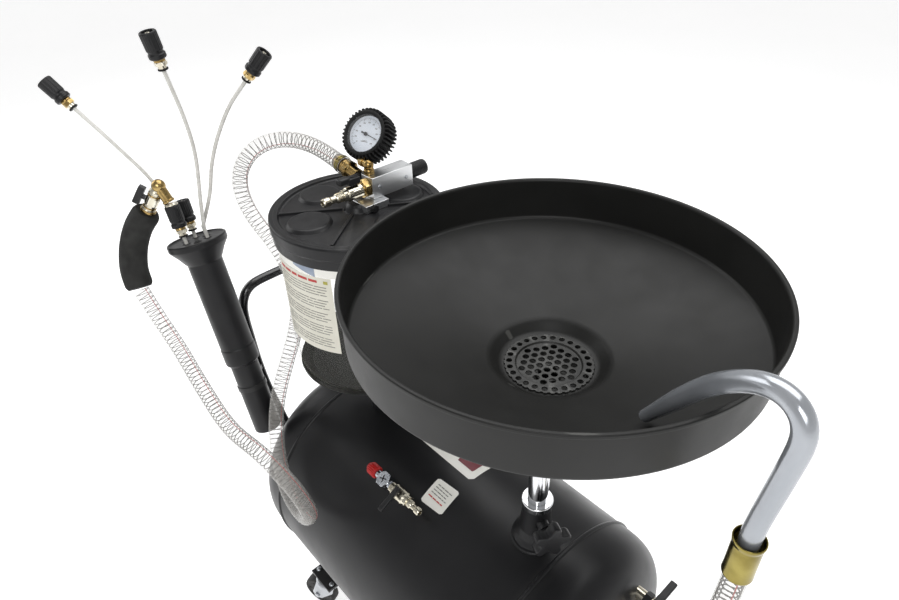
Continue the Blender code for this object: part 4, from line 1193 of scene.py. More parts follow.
def outlet():
    along = frame_at(OUTLET, (1, 0, 0))
    root = [(0, -0.018), (0.0104, -0.018), (0.0104, OUTLET_DROP_X - OUTLET.x - 0.001),
            (0.006, OUTLET_DROP_X - OUTLET.x + 0.008), (0, OUTLET_DROP_X - OUTLET.x + 0.009)]
    made = lathe("outlet_body", root, NICKEL, "tank", along, 48)
    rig.replaces(made, "outlet_valve")
    nut("outlet_hex", 0.0136, 0.0100, 0.0210, BLACK_PLASTIC, "tank", along)
    low = 0.385 - OUTLET.z
    leg = [(0, low + 0.022), (0.0122, low + 0.022), (0.0122, low), (0.0136, low + 0.0006),
           (0.0138, low + 0.0300), (0.0105, low + 0.0340), (0.0105, 0.006), (0.007, 0.0125),
           (0, 0.0125)]
    where = Matrix.Translation((OUTLET_DROP_X, OUTLET.y, OUTLET.z))
    lathe("outlet_elbow", leg, NICKEL, "tank", where, 48)
    ribs = [(0.0136, low + 0.0065), (0.0141, low + 0.0080), (0.0136, low + 0.0095)]
    lathe("outlet_band", ribs, YELLOW_ZINC, "tank", where, 48, 0)
    flat_lever("outlet_valve_lever", "outlet_lever", "outlet_lever",
               Vector((0.374, OUTLET.y, OUTLET.z)), UP, (0, 1, 0), 0.0109, 0.042, 0.011, 0.006)


# --- Chamber ------------------------------------------------------------------------------------

CHAMBER_X, LID_Z = -0.1751, 0.935
CHAMBER = Matrix.Translation((CHAMBER_X, 0, 0))
JAR_LOW_R, JAR_LOW_Z = 0.1268, 0.690
JAR_TOP_R, JAR_TOP_Z = 0.1245, 0.9147


def chamber():
    neck = [(0.010, 0.529), (0.016, 0.530), (0.016, 0.570), (0.023, 0.574), (0.023, 0.606),
            (0.016, 0.610), (0.016, 0.640), (0.055, 0.646), (0.058, 0.6545), (0.010, 0.6545)]
    made = lathe("drain_neck", neck, BLACK_PAINT, "tank", CHAMBER, 72, 0.001)
    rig.replaces(made, "chamber_neck")
    flat_lever("drain_valve_lever", "drain_lever", "drain_lever", (CHAMBER_X, 0, 0.590),
               (0, -1, 0), (-1, 0, 0), 0.0233, 0.045, 0.012, 0.006)
    outside = [(0.0118, 0.6552), (0.0940, 0.6552), (0.1080, 0.6590), (0.1190, 0.6680),
               (0.1250, 0.6790), (0.1268, 0.6900), (0.1245, 0.9147), (0.1207, 0.9147),
               (0.1228, 0.6905), (0.1212, 0.6815), (0.1165, 0.6725), (0.1070, 0.6632),
               (0.0930, 0.6592), (0.0118, 0.6592)]
    made = lathe("jar", outside, JAR_CLEAR, "tank", CHAMBER, 112, 0.002)
    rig.replaces(made, "chamber_glass")
    base = [(0.0118, 0.6594), (0.0925, 0.6596), (0.1055, 0.6640), (0.1145, 0.6724),
            (0.1188, 0.6800), (0.1176, 0.6806), (0.1125, 0.6742), (0.1040, 0.6660),
            (0.0920, 0.6618), (0.0118, 0.6618)]
    lathe("jar_floor", base, BLACK_PLASTIC, "tank", CHAMBER, 64)
    ring = [(0.0934, 0.6556), (0.1105, 0.6606), (0.1222, 0.6710), (0.1228, 0.6706),
            (0.1108, 0.6598), (0.0936, 0.6548)]
    lathe("jar_base_ring", ring, BLACK_PLASTIC, "tank", CHAMBER, 96, 0)
    seal = band(0.1203, 0.1250, 0.9149, 0.9172)
    made = lathe("lid_gasket", seal, RUBBER, "tank", CHAMBER, 96)
    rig.replaces(made, "chamber_seal")
    rod_line = [(0, 0.6596), (0.022, 0.6596), (0.022, 0.6630), (0.006, 0.6650), (0.006, 0.9290),
                (0, 0.9290)]
    made = lathe("tie_bar", rod_line, DULL_ZINC, "tank", CHAMBER, 32)
    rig.replaces(made, "tie_rod")


def jar_patch(name, material, low_deg, high_deg, low_z, high_z, lift, lean=0.0):
    """A thin patch on the jar's tapering wall, which rises by lean from one side to the other."""
    columns, rows = max(2, int(abs(high_deg - low_deg) / 2.5)), 6

    def point(row, column, height):
        z = low_z + (high_z - low_z) * row / rows
        turn = math.radians(low_deg + (high_deg - low_deg) * column / columns)
        wall = JAR_LOW_R + (JAR_TOP_R - JAR_LOW_R) * (z - JAR_LOW_Z) / (JAR_TOP_Z - JAR_LOW_Z)
        reach = wall + height
        rise = lean * (column / columns - 0.5)
        return (CHAMBER_X + reach * math.cos(turn), reach * math.sin(turn), z + rise)

    bm = bmesh.new()
    add_sheet(bm, rows, columns, lift, 0.0002, point)
    return finish_piece(name, bm, material, "tank", 40)


def jar_label():
    left, right = -105.0, -55.0
    jar_patch("jar_label", LABEL_CREAM, left, right, 0.757, 0.8890, 0.0004)
    jar_patch("jar_label_header", LABEL_WHITE, left - 2, right + 8, 0.8895, 0.9120, 0.0003)
    jar_patch("jar_label_ribbon", PRINT_BLUE, -84, -66, 0.8935, 0.9085, 0.0006, -0.010)
    jar_patch("jar_label_mark", PRINT_GOLD, right - 5.5, right - 2.5, 0.8790, 0.8840, 0.0007)
    for count, (a, b) in enumerate(word_runs(left + 3, right - 6.5, 5, 9, 1.2)):
        jar_patch(f"jar_label_title_{count}", PRINT_RED, a, b, 0.8795, 0.8835, 0.0007)
    row_z = 0.8725
    row = 0
    while row_z > 0.764:
        if row % 5 != 4:
            for count, (a, b) in enumerate(word_runs(left + 3, right - 4, 3.5, 13, 0.9)):
                jar_patch(f"jar_label_text_{row}_{count}", PRINT_GREY, a, b, row_z,
                          row_z + 0.0011, 0.0007)
        row_z -= 0.0046
        row += 1


def lid():
    profile = [
        (0, 0.9300), (0.1180, 0.9300), (0.1190, 0.9175), (0.1252, 0.9175), (0.1252, 0.9040),
        (0.1284, 0.9040), (0.1284, 0.9190), (0.1305, 0.9210), (0.1305, 0.9366), (0.1290, 0.9388),
        (0.1175, 0.9388), (0.1150, 0.9352), (0.1120, 0.9346), (0.1060, 0.9350), (0.0200, 0.9350),
        (0.0165, 0.9420), (0.0120, 0.9460), (0, 0.9460),
    ]
    made = lathe("lid_cap", profile, BLACK_PLASTIC, "tank", CHAMBER, 128, 0.0012)
    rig.replaces(made, "chamber_lid")
    groove = band(0.1225, 0.1236, 0.9386, 0.9390)
    lathe("lid_rim_bead", groove, BLACK_PLASTIC, "tank", CHAMBER, 112, 0)
    for index, heading in enumerate((192, 263, 12, 83)):
        turn = math.radians(heading)
        at = Matrix.Translation((CHAMBER_X + 0.078 * math.cos(turn), 0.078 * math.sin(turn), 0))
        pad = [(0, 0.9330), (0.0345, 0.9345), (0.0318, 0.9372), (0.0300, 0.9392),
               (0.0270, 0.9397), (0, 0.9395)]
        lathe(f"lid_pad_{index}", pad, BLACK_PLASTIC, "tank", at, 64, 0.0012)
    for index, heading in enumerate((56, 127, 236, 307)):
        where = CHAMBER @ Matrix.Rotation(math.radians(heading), 4, "Z")
        box(f"lid_rib_{index}", (0.022, -0.0022, 0.9330), (0.1145, 0.0022, 0.9384), 0.0009,
            BLACK_PLASTIC, "tank", where)


# --- Ejector and gauge ---------------------------------------------------------------------------

BLOCK_X, VALVE_Z = -0.1735, 0.963


def ejector():
    left, right = BLOCK_X - 0.0135, BLOCK_X + 0.0135
    made = box("ejector_body", (left, 0.0210, 0.9471), (right, 0.0965, 0.9799), 0.0007,
               ALUMINIUM, "tank")
    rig.replaces(made, "ejector_block")
    made = box("ejector_base", (left, -0.0019, 0.9353), (right + 0.0119, 0.0399, 0.9466), 0.0006,
               ALUMINIUM, "tank")
    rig.replaces(made, "ejector_foot")
    nut("base_plug", 0.0060, 0.0, 0.0060, BLACK_PLASTIC, "tank",
        frame_at((right + 0.0118, 0.0110, 0.9412), (1, 0, 0)))
    for index, y in enumerate((0.034, 0.084)):
        lathe(f"block_screw_{index}", [(0, 0), (0.0030, 0), (0.0030, 0.0016), (0, 0.0018)],
              DULL_ZINC, "tank", frame_at((right - 0.0003, y, 0.9635), (1, 0, 0)), 24, 0.0004)
    start = 0.0968
    ribs = [(0, start)]
    for index in range(11):
        low = start + 0.00286 * index
        ribs += [(0.0118, low), (0.0118, low + 0.0018), (0.0109, low + 0.0021)]
    ribs += [(0.0109, start + 0.0318), (0.0112, start + 0.0322), (0.0112, start + 0.0327),
             (0, start + 0.0327)]
    along = frame_at((BLOCK_X, 0, VALVE_Z), (0, 1, 0))
    made = lathe("silencer", ribs, BLACK_PLASTIC, "tank", along, 56, 0.0003)
    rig.replaces(made, "muffler")
    near = frame_at((BLOCK_X, 0, VALVE_Z), (0, -1, 0), UP)
    body = [(0, -0.0206), (0.0092, -0.0206), (0.0092, -0.0090), (0.0106, -0.0080),
            (0.0106, 0.0160), (0.0088, 0.0180), (0.0088, 0.0240), (0, 0.0240)]
    made = lathe("ejector_valve_body", body, NICKEL, "tank", near, 48)
    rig.replaces(made, "ejector_valve")
    nut("ejector_nut", 0.0148, -0.0205, -0.0100, BRASS, "tank", near)
    nut("ejector_valve_hex", 0.0112, -0.0040, 0.0100, NICKEL, "tank", near)
    nipple("ejector_nipple", "tank", near, 0.0238, 0.0580, 0.0070)
    for index, at in enumerate((0.0272, 0.0300, 0.0328)):
        ring = [(0.0064, at), (0.0073, at + 0.0008), (0.0064, at + 0.0016)]
        lathe(f"nipple_ring_{index}", ring, BRASS, "tank", near, 40, 0)
    flat_lever("ejector_valve_lever", "ejector_lever", "ejector_lever",
               (BLOCK_X, -0.004, VALVE_Z), UP, (0, -1, 0), 0.0111, 0.025, 0.013, 0.010, 0.003)
    elbow = Matrix.Translation((-0.2000, 0.0220, 0.0))
    stem = [(0, LID_Z + 0.0004), (0.0110, LID_Z + 0.0004), (0.0110, 0.9720), (0.0080, 0.9795),
            (0, 0.9800)]
    made = lathe("elbow_stem", stem, BLACK_PLASTIC, "tank", elbow, 40, 0.001)
    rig.replaces(made, "hose_elbow")
    barb_at = frame_at((-0.2000, 0.0220, 0.974), (-1, 0, 0.15))
    sleeve = [(0, -0.004), (0.0100, -0.004), (0.0100, 0.0130), (0.0132, 0.0150), (0.0132, 0.0230),
              (0.0120, 0.0240), (0.0120, 0.0285), (0.0114, 0.0300), (0.0108, 0.0500), (0, 0.0500)]
    lathe("hose_barb", sleeve, BRASS, "tank", barb_at, 64, 0.0006)
    nut("hose_barb_hex", 0.0142, 0.0150, 0.0230, BRASS, "tank", barb_at)
    for index, at in enumerate((0.0330, 0.0372)):
        crimp = [(0.0137, at), (0.0142, at + 0.0004), (0.0142, at + 0.0022), (0.0137, at + 0.0026)]
        lathe(f"hose_crimp_{index}", crimp, YELLOW_ZINC, "tank", barb_at, 64, 0)


# the way the gauge faces, its middle, the way down across its dial, and the way across that
FACE = Vector((0.254, -0.736, 0.628)).normalized()
GAUGE = Vector((-0.2037, 0.0440, 1.0327))
DOWN = Vector((0.205, -0.594, -0.778))
DOWN = (DOWN - FACE * DOWN.dot(FACE)).normalized()
SIDE = FACE.cross(DOWN)


TEETH = 38
TOOTH_STEPS = 12
WELL_R, WELL_FLOOR, RIM_TOP = 0.0292, -0.0098, -0.0021
CARD_TOP, INK = -0.0084, 0.0002  # the dial's face and the thickness of its print
FIRST_MARK, SWEEP = math.radians(-135), math.radians(270)


def boot(where):
    """The toothed rubber boot, open at the face where the dial sits, and its collar."""
    outline = wavy(TEETH * TOOTH_STEPS, lambda turn: 0.0362 + 0.0033 * max(
        -1.0, min(1.0, 3.0 * math.cos(TEETH * turn) - 0.1)))
    levels = [(-0.0338, 0.0050), (-0.0334, 0.0022), (-0.0322, 0.0006), (-0.0300, 0.0),
              (-0.0060, 0.0), (-0.0040, 0.0005), (-0.0026, 0.0018), (RIM_TOP, 0.0040)]
    bm = bmesh.new()
    rings = [
        layer(bm, outline, height, lambda reach: max(0.0320, reach - inset))
        for height, inset in levels
    ]
    rings += [layer(bm, outline, height, lambda reach: WELL_R) for height in (RIM_TOP, WELL_FLOOR)]
    stitch(bm, rings)
    made = finish_piece("toothed_boot", bm, RUBBER, "tank", 34, where)
    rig.replaces(made, "gauge_boot")
    collar = [(0.0290, -0.0022), (0.0346, -0.0026), (0.0340, -0.0006), (0.0322, 0.0000),
              (0.0302, -0.0001), (0.0290, -0.0010)]
    lathe("boot_collar", collar, RUBBER, "tank", where, 96, 0.0004)


def add_print(bm, x, y, where=None):
    """A flat printed mark on the dial card, from the low to the high of x and of y."""
    add_box(bm, (x[0], y[0], CARD_TOP), (x[1], y[1], CARD_TOP + INK), 0, where)


def dial(where):
    """The card with its ticks, figures drawn as small blocks, red arc, and the lens."""
    card = rod(0.0283, -0.0096, -0.0084)
    made = lathe("dial_card", card, DIAL_WHITE, "tank", where, 72, 0.0002)
    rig.replaces(made, "gauge_dial")
    lens = [(0, -0.0030), (0.0283, -0.0030), (0.0283, -0.0020), (0.0200, -0.0014), (0, -0.0010)]
    made = lathe("dial_lens", lens, LENS_CLEAR, "tank", where, 72, 0.0003)
    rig.replaces(made, "gauge_lens")
    bm = bmesh.new()
    for index in range(51):
        turn = FIRST_MARK + SWEEP * index / 50
        length, width = (0.0022, 0.00022) if index % 5 else (0.0040, 0.0004)
        spot = Matrix.Rotation(math.pi / 2 - turn, 4, "Z")
        add_print(bm, (0.0250 - length, 0.0250), (-width / 2, width / 2), spot)
    finish_piece("dial_ticks", bm, PRINT_BLACK, "tank", 30, where)
    bm = bmesh.new()
    for index in range(11):
        turn = FIRST_MARK + SWEEP * index / 10
        spot = Matrix.Rotation(math.pi / 2 - turn, 4, "Z") @ Matrix.Translation((0.0178, 0, 0))
        spot = spot @ Matrix.Rotation(-(math.pi / 2 - turn), 4, "Z")
        for across in ((-0.0010, 0.0010) if index else (0.0,)):
            add_print(bm, (across - 0.0006, across + 0.0006), (-0.0010, 0.0010), spot)
    add_print(bm, (-0.0060, 0.0060), (-0.0118, -0.0108))
    add_print(bm, (-0.0040, 0.0040), (-0.0100, -0.0094))
    finish_piece("dial_figures", bm, PRINT_GREY, "tank", 30, where)
    bm = bmesh.new()
    for index in range(24):
        turn = math.radians(-60) + math.radians(75) * index / 24
        add_print(bm, (0.0255, 0.0266), (-0.0018, 0.0018), Matrix.Rotation(turn, 4, "Z"))
    finish_piece("dial_arc", bm, PRINT_RED, "tank", 30, where)


def needle(where):
    pointer = where @ Matrix.Rotation(math.radians(-15), 4, "Z")
    bm = bmesh.new()
    blade = [(-0.0085, -0.0013), (0.0, -0.0008), (0.0215, -0.0003), (0.0225, 0.0),
              (0.0215, 0.0003), (0.0, 0.0008), (-0.0085, 0.0013)]
    stitch(bm, [[bm.verts.new((x, y, z)) for x, y in blade] for z in (-0.0071, -0.0063)])
    add_lathe(bm, [(0, -0.0080), (0.0027, -0.0080), (0.0027, -0.0054), (0.0018, -0.0048),
                   (0, -0.0048)], 28)
    made = finish_piece("needle", bm, BLACK_PLASTIC, "pointer", 30, pointer)
    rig.replaces(made, "gauge_pointer")


def gauge_mount():
    """The brass stem on the block, its knee, and the neck up to the boot."""
    foot = Vector((-0.1785, 0.0300, 0.9803))
    knee = foot + Vector((0, 0, 0.0135))
    neck = GAUGE + DOWN * 0.0375 - FACE * 0.0130
    stem = [(0, 0), (0.0080, 0), (0.0080, 0.0060), (0.0070, 0.0075), (0.0070, 0.0130), (0, 0.0130)]
    made = lathe("brass_stem", stem, BRASS, "tank", Matrix.Translation(foot), 48)
    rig.replaces(made, "gauge_stem")
    ball_piece("brass_knee", knee, 0.0078, BRASS)
    reach = (neck - knee).length
    rise = frame_at(knee, neck - knee)
    sleeve = rod(0.0062, 0, reach)
    lathe("brass_neck", sleeve, BRASS, "tank", rise, 40)
    nut("brass_neck_nut", 0.0086, reach * 0.45, reach * 0.85, BRASS, "tank", rise)


def gauge():
    where = frame_at(GAUGE, FACE, SIDE)
    boot(where)
    dial(where)
    needle(where)
    gauge_mount()


def ball_piece(name, centre, radius, material):
    arc = [(radius * math.sin(math.pi * step / 20), -radius * math.cos(math.pi * step / 20))
           for step in range(1, 20)]
    return lathe(name, [(0, -radius), *arc, (0, radius)], material, "tank",
                 Matrix.Translation(centre), 40, 0)


# --- Handle, holder and probes ---------------------------------------------------------------

HANDLE_Y, HANDLE_R = 0.11, 0.009
HOLDER_TOP = Vector((-0.447, -0.155, 0.837))
HOLDER_LEAN = math.radians(-16.2)
HOLDER = Matrix.Translation(HOLDER_TOP) @ Matrix.Rotation(HOLDER_LEAN, 4, "Y")
PROBE_DEPTH = 0.220
HOLE_CIRCLE = 0.0205
COUPLER_LENGTH = 0.0545
CLAMP_DOWN, HANDLE_LEG_X = -0.292, -0.4325
STORED_END = 0.010


def handle():
    leg = [(-0.3590, 0.420), (-0.3780, 0.444), (-0.4100, 0.486), (-0.4300, 0.540),
           (-0.4370, 0.600), (-0.4400, 0.660)]
    corner = 0.035
    top = Vector((-0.438, HANDLE_Y, 0.712))
    half = [Vector((x, HANDLE_Y, z)) for x, z in leg]
    half.append(top + Vector((0.004, -0.004, -0.018)))
    half.append(top + Vector((0.0, -corner * 0.55, -0.001)))
    half.append(top + Vector((-0.001, -corner * 1.6, 0.003)))
    other = [Vector((p.x, -p.y, p.z)) for p in reversed(half)]
    line = relaxed(smooth_line([*half, *other], 0.006), 10)
    made = tube("push_bar", line, HANDLE_R - 0.0001, GLOSS_PAINT, "tank", 32)
    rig.replaces(made, "handle")
    for index, side in enumerate((1, -1)):
        bead = [(HANDLE_R - 0.001, -0.003), (HANDLE_R + 0.0022, -0.0022),
                (HANDLE_R + 0.0022, 0.0006), (HANDLE_R - 0.001, 0.003)]
        where = frame_at((-0.3625, side * HANDLE_Y, 0.4245), (-0.62, 0, 0.78))
        lathe(f"handle_weld_{index}", bead, BLACK_PAINT, "tank", where, 40, 0.0008,
              lambda turn, height: 0.0003 * math.sin(14 * turn))


def probe_hole(index):
    turn = math.radians(-75 + 60 * index)
    return Vector((HOLE_CIRCLE * math.cos(turn), HOLE_CIRCLE * math.sin(turn), 0))


def holder():
    profile = [
        (0, -0.388), (0.0236, -0.388), (0.0250, -0.3865), (0.0250, -0.243), (0.0296, -0.2400),
        (0.0305, -0.2380), (0.0305, -0.2090), (0.0296, -0.2075), (0.0296, -0.042),
        (0.0330, -0.0370), (0.0400, -0.0250),
        (0.0478, -0.0145), (0.0500, -0.0110), (0.0500, -0.0022), (0.0488, -0.0006),
        (0.0468, -0.0006), (0.0458, -0.0030), (0, -0.0032),
    ]
    made = lathe("holder_body", profile, BLACK_PLASTIC, "tank", HOLDER, 112, 0.0012)
    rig.replaces(made, "holder_tube")
    for index in range(6):
        at = HOLDER @ Matrix.Translation(probe_hole(index))
        ring = [(0.0052, -0.0036), (0.0072, -0.0034), (0.0070, -0.0026), (0.0062, -0.0023),
                (0.0052, -0.0028)]
        lathe(f"hole_rim_{index}", ring, BLACK_PLASTIC, "tank", at, 32, 0.0003)
        # A disc of painted shade stands for the shadow down each probe hole.
        lathe(f"hole_shade_{index}", rod(0.0054, -0.0034, -0.0029), PAINTED_SHADE, "tank", at, 24, 0)


def clamp():
    """A thin band round the holder and its tab to the handle's leg."""
    bm = bmesh.new()
    section = [(0.0253, -0.0050), (0.0266, -0.0046), (0.0266, 0.0046), (0.0253, 0.0050)]
    at = HOLDER @ Matrix.Translation((0, 0, CLAMP_DOWN))
    add_lathe(bm, section, 64, at)
    centre = at.to_translation()
    across = Vector((HANDLE_LEG_X - centre.x, -HANDLE_Y - centre.y, 0))
    heading = Matrix.Rotation(math.atan2(across.y, across.x), 4, "Z")
    add_box(bm, (0.0255, -0.0080, -0.0046), (across.length - HANDLE_R - 0.0015, 0.0080, 0.0046),
            0.0008, at @ heading)
    made = finish_piece("clamp_band", bm, BLACK_PLASTIC, "tank", 30, None, 0.12)
    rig.replaces(made, "holder_clamp")


def probe(name, hole, free_route, bare_end, plugged=False):
    """A nylon rod with its ferrule, knurled coupler sleeve and a rubber ring. A plugged probe
    stays with the tank and has no open coupler."""
    body = "tank" if plugged else name
    foot = probe_hole(hole)
    inside = [HOLDER @ (foot + Vector((0, 0, -PROBE_DEPTH * part))) for part in (1, 0.66, 0.33)]
    inside.append(HOLDER @ (foot + Vector((0, 0, bare_end))))
    if free_route:
        free = relaxed(smooth_line([inside[-1], *free_route], 0.004), 4)
    else:
        free = [inside[-1]]
    line = inside[:-1] + free
    end, along = line[-1], (line[-1] - line[-2]).normalized()
    where = frame_at(end, along)
    tag = name.split("_")[1]
    made = tube(f"rod_{tag}", [*line, end + along * 0.003], 0.0030, ROD_PLASTIC, body, 20)
    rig.replaces(made, name)
    ring = [(0.0033, 0.0002), (0.0072, 0.0002), (0.0078, 0.0012), (0.0072, 0.0028),
            (0.0033, 0.0030)]
    lathe(f"coupler_ring_{tag}", ring, RUBBER, body, where, 40, 0.0005)
    lathe(f"coupler_tail_{tag}", rod(0.0060, 0.0028, 0.0074), NICKEL, body, where, 32, 0.0004)
    nut(f"coupler_hex_{tag}", 0.0094, 0.0070, 0.0128, BRASS if hole % 2 else NICKEL, body, where)
    lathe(f"coupler_neck_{tag}", [(0, 0.0124), (0.0078, 0.0124), (0.0084, 0.0140),
                                  (0.0078, 0.0172), (0, 0.0172)], BRASS, body, where, 36, 0.0005)
    sleeve = [(0, 0.0170), (0.0112, 0.0170), (0.0125, 0.0184), (0.0125, 0.0235),
              (0.0110, 0.0252), (0.0110, 0.0275), (0.0119, 0.0290), (0.0122, 0.0528),
              (0.0114, 0.0544), (0.0084, 0.0544), (0.0078, 0.0500), (0, 0.0500)]

    def knurl(turn, height):
        return 0.00022 * math.sin(22 * turn) if 0.0290 < height < 0.0530 else 0.0

    lathe(f"coupler_sleeve_{tag}", sleeve, BLACK_PLASTIC, body, where, 132, 0.0006, knurl)
    if not plugged:
        # A disc of painted shade stands for the shadow inside the open coupler's mouth.
        lathe(f"coupler_hollow_shade_{tag}", rod(0.0076, 0.0499, 0.0506), PAINTED_SHADE, body, where, 28, 0)
        lathe(f"coupler_pin_{tag}", [(0, 0.0504), (0.0030, 0.0504), (0.0030, 0.0530),
                                     (0, 0.0534)], NICKEL, body, where, 20, 0.0003)


def probes():
    probe("probe_1", 5, [(-0.4850, -0.1720, 0.8900), (-0.5048, -0.1790, 0.9287),
                         (-0.5316, -0.2112, 0.9954), (-0.5670, -0.2425, 1.0540)], 0.020)
    probe("probe_2", 2, [(-0.4370, -0.1355, 0.8950), (-0.4217, -0.1286, 0.9874),
                         (-0.4118, -0.1339, 1.0473), (-0.4103, -0.1454, 1.1220)], 0.014)
    probe("probe_3", 3, [(-0.4434, -0.1147, 0.9050), (-0.4338, -0.1021, 0.9581),
                         (-0.4173, -0.0878, 1.0059), (-0.3943, -0.0664, 1.0563),
                         (-0.3731, -0.0427, 1.0924)], 0.014)
    probe("probe_4", 0, [], STORED_END, plugged=True)
    probe("probe_5", 4, [], STORED_END)


GRIP_ROUTE = [
    (-0.4865, -0.2573, 0.7635), (-0.503, -0.2530, 0.792), (-0.509, -0.2400, 0.830),
    (-0.503, -0.2235, 0.864), (-0.490, -0.2060, 0.890),
]


GRIP_STEP = 0.004
FOAM_END_R, FOAM_SWELL, FOAM_ROUNDING = 0.0188, 0.0036, 0.008


def grip():
    line = relaxed(smooth_line(GRIP_ROUTE, GRIP_STEP), 3)
    radii = []
    for index in range(len(line)):
        near = min(index, len(line) - 1 - index) * GRIP_STEP
        radii.append(FOAM_END_R + FOAM_SWELL * min(1.0, near / FOAM_ROUNDING) ** 0.5)
    made = tube("foam_grip", line, radii, FOAM, "tank", 48)
    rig.replaces(made, "suction_grip")
    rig.padded(made, 0.95)
    ends = frames_along(line)
    cuff = [(0.0137, 0.0000), (0.0180, 0.0000), (0.0186, 0.0020), (0.0186, 0.0100),
            (0.0137, 0.0100)]
    lathe("grip_cuff", cuff, BLACK_PLASTIC, "tank", frame_at(ends[0][0], ends[0][3]), 48)


def grip_valve():
    """The valve above the grip, the elbow that plugs it on probe 4, and its T lever."""
    low, high = Vector(GRIP_ROUTE[-1]), Vector((-0.4745, -0.1815, 0.9330))
    along = (high - low).normalized()
    length = (high - low).length
    where = frame_at(low, along)
    body = [(0, 0.0026), (0.0112, 0.0026), (0.0112, 0.0060), (0.0096, 0.0074), (0.0096, 0.0360),
            (0.0108, 0.0366), (0.0108, 0.0410), (0.0085, 0.0430), (0.0085, length),
            (0, length)]
    made = lathe("grip_valve_body", body, NICKEL, "tank", where, 48)
    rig.replaces(made, "grip_valve")
    nut("grip_valve_hex", 0.0108, 0.0150, 0.0300, NICKEL, "tank", where)
    cuff = [(0.0110, 0.0004), (0.0128, 0.0010), (0.0128, 0.0050), (0.0110, 0.0056)]
    lathe("grip_valve_cuff", cuff, BRASS, "tank", where, 48, 0.0004)
    for index, at in enumerate((0.0095, 0.0325)):
        ring = band(0.0100, 0.0110, at, at + 0.0016)
        lathe(f"grip_valve_ring_{index}", ring, BRASS, "tank", where, 40, 0.0003)
    ball_piece("elbow_ball", high, 0.0112, BRASS)
    stored_top = STORED_END + COUPLER_LENGTH + GAP
    top = HOLDER @ (probe_hole(0) + Vector((0, 0, stored_top + 0.0002)))
    drop = frame_at(high, top - high)
    reach = (top - high).length
    lathe("elbow_leg", [(0, 0), (0.0088, 0), (0.0088, reach - 0.0100), (0.0100, reach - 0.0095),
                        (0.0100, reach - 0.0066), (0.0088, reach - 0.0060), (0, reach - 0.0060)],
          BRASS, "tank", drop, 40)
    socket = HOLDER @ Matrix.Translation(probe_hole(0))
    lathe("plugged_nickel_ring", [(0.0, stored_top), (0.0108, stored_top),
                                  (0.0112, stored_top + 0.0012), (0.0100, stored_top + 0.0040),
                                  (0, stored_top + 0.0044)], NICKEL, "tank", socket, 48, 0.0004)
    out = Vector((-0.5235, -0.564, 0.636))
    out = (out - along * out.dot(along)).normalized()
    pivot = Matrix.Translation(low + along * 0.022) @ UP.rotation_difference(
        out).to_euler().to_matrix().to_4x4()
    lever_at = pivot @ Matrix.Rotation(math.radians(60), 4, "Z")
    bm = bmesh.new()
    bar = [(0.0175, 0.0), (0.0150, 0.0058), (-0.0150, 0.0058), (-0.0175, 0.0), (-0.0150, -0.0058),
           (0.0150, -0.0058)]
    add_loft(bm, bar, [(0.0161, 0.0012), (0.0168, 0.0), (0.0258, 0.0), (0.0268, 0.0014)])
    add_lathe(bm, rod(0.0044, 0.0109, 0.0165), 24)
    made = finish_piece("grip_valve_lever", bm, BLACK_PLASTIC, "grip_lever", 30, lever_at)
    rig.replaces(made, "grip_lever")


# --- Casters -------------------------------------------------------------------------------------

PLATE_Z, AXLE_Z, TRAIL = 0.103, 0.0375, 0.028
CASTER_X, CASTER_Y = 0.215, 0.155
CASTERS = {  # (side along X, side along Y, heading in degrees)
    "front_left": (1, 1, 15), "front_right": (1, -1, -20),
    "rear_left": (-1, 1, -25), "rear_right": (-1, -1, 20),
}
FACE_TAGS = ((-1, "a"), (1, "b"))


def casters():
    paint(DULL_ZINC, *[f"fork_{name}" for name in CASTERS])
    paint(BLACK_PAINT, "front_caster_beam", "rear_caster_beam")
    for name, (sx, sy, heading) in CASTERS.items():
        x, y = sx * CASTER_X, sy * CASTER_Y
        swivel = Matrix.Translation((x, y, PLATE_Z)) @ Matrix.Rotation(
            math.radians(heading), 4, "Z")
        axle = swivel @ Matrix.Translation((-TRAIL, 0, AXLE_Z - PLATE_Z)) @ Matrix.Rotation(
            math.pi / 2, 4, "X")
        side = [(0.0045, 0.0135), (0.0110, 0.0135), (0.0125, 0.0112), (0.0270, 0.0098),
                (0.0295, 0.0112), (0.0350, 0.0112), (0.0368, 0.0090), (0.0374, 0.0040)]
        wheel = [(r, -z) for r, z in side] + [(r, z) for r, z in reversed(side)]
        made = lathe(f"tyre_{name}", wheel, WHEEL_RUBBER, f"wheel_{name}", axle, 72, 0.0008)
        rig.replaces(made, f"wheel_{name}")
        for face, tag in FACE_TAGS:
            for hole in range(6):
                spot = axle @ Matrix.Rotation(math.tau * hole / 6, 4, "Z")
                low, high = sorted((face * 0.0098, face * 0.0110))
                box(f"hub_rib_{name}_{hole}_{tag}", (0.0120, -0.0012, low),
                    (0.0275, 0.0012, high), 0.0004, WHEEL_RUBBER, f"wheel_{name}", spot)
        for face, tag in FACE_TAGS:
            turn = axle if face > 0 else axle @ Matrix.Rotation(math.pi, 4, "X")
            nut(f"axle_nut_{name}_{tag}", 0.0062, 0.0171, 0.0206, DULL_ZINC, f"swivel_{name}", turn)
        ball_race = [(0.0200, -0.0146), (0.0271, -0.0110), (0.0273, -0.0035), (0.0245, -0.0004),
                     (0.0200, -0.0004)]
        lathe(f"race_{name}", ball_race, DULL_ZINC, f"swivel_{name}", swivel, 56, 0.0008)
        for index, (dx, dy) in enumerate(((-1, -1), (-1, 1), (1, -1), (1, 1))):
            spot = Matrix.Translation((x + dx * 0.024, y + dy * 0.012 - sy * 0.004,
                                       PLATE_Z + 0.0060))
            lathe(f"plate_bolt_{name}_{index}", [(0, 0), (0.0052, 0), (0.0050, 0.0022),
                                                 (0.0034, 0.0036), (0, 0.0040)], DULL_ZINC,
                  "tank", spot, 24, 0.0004)


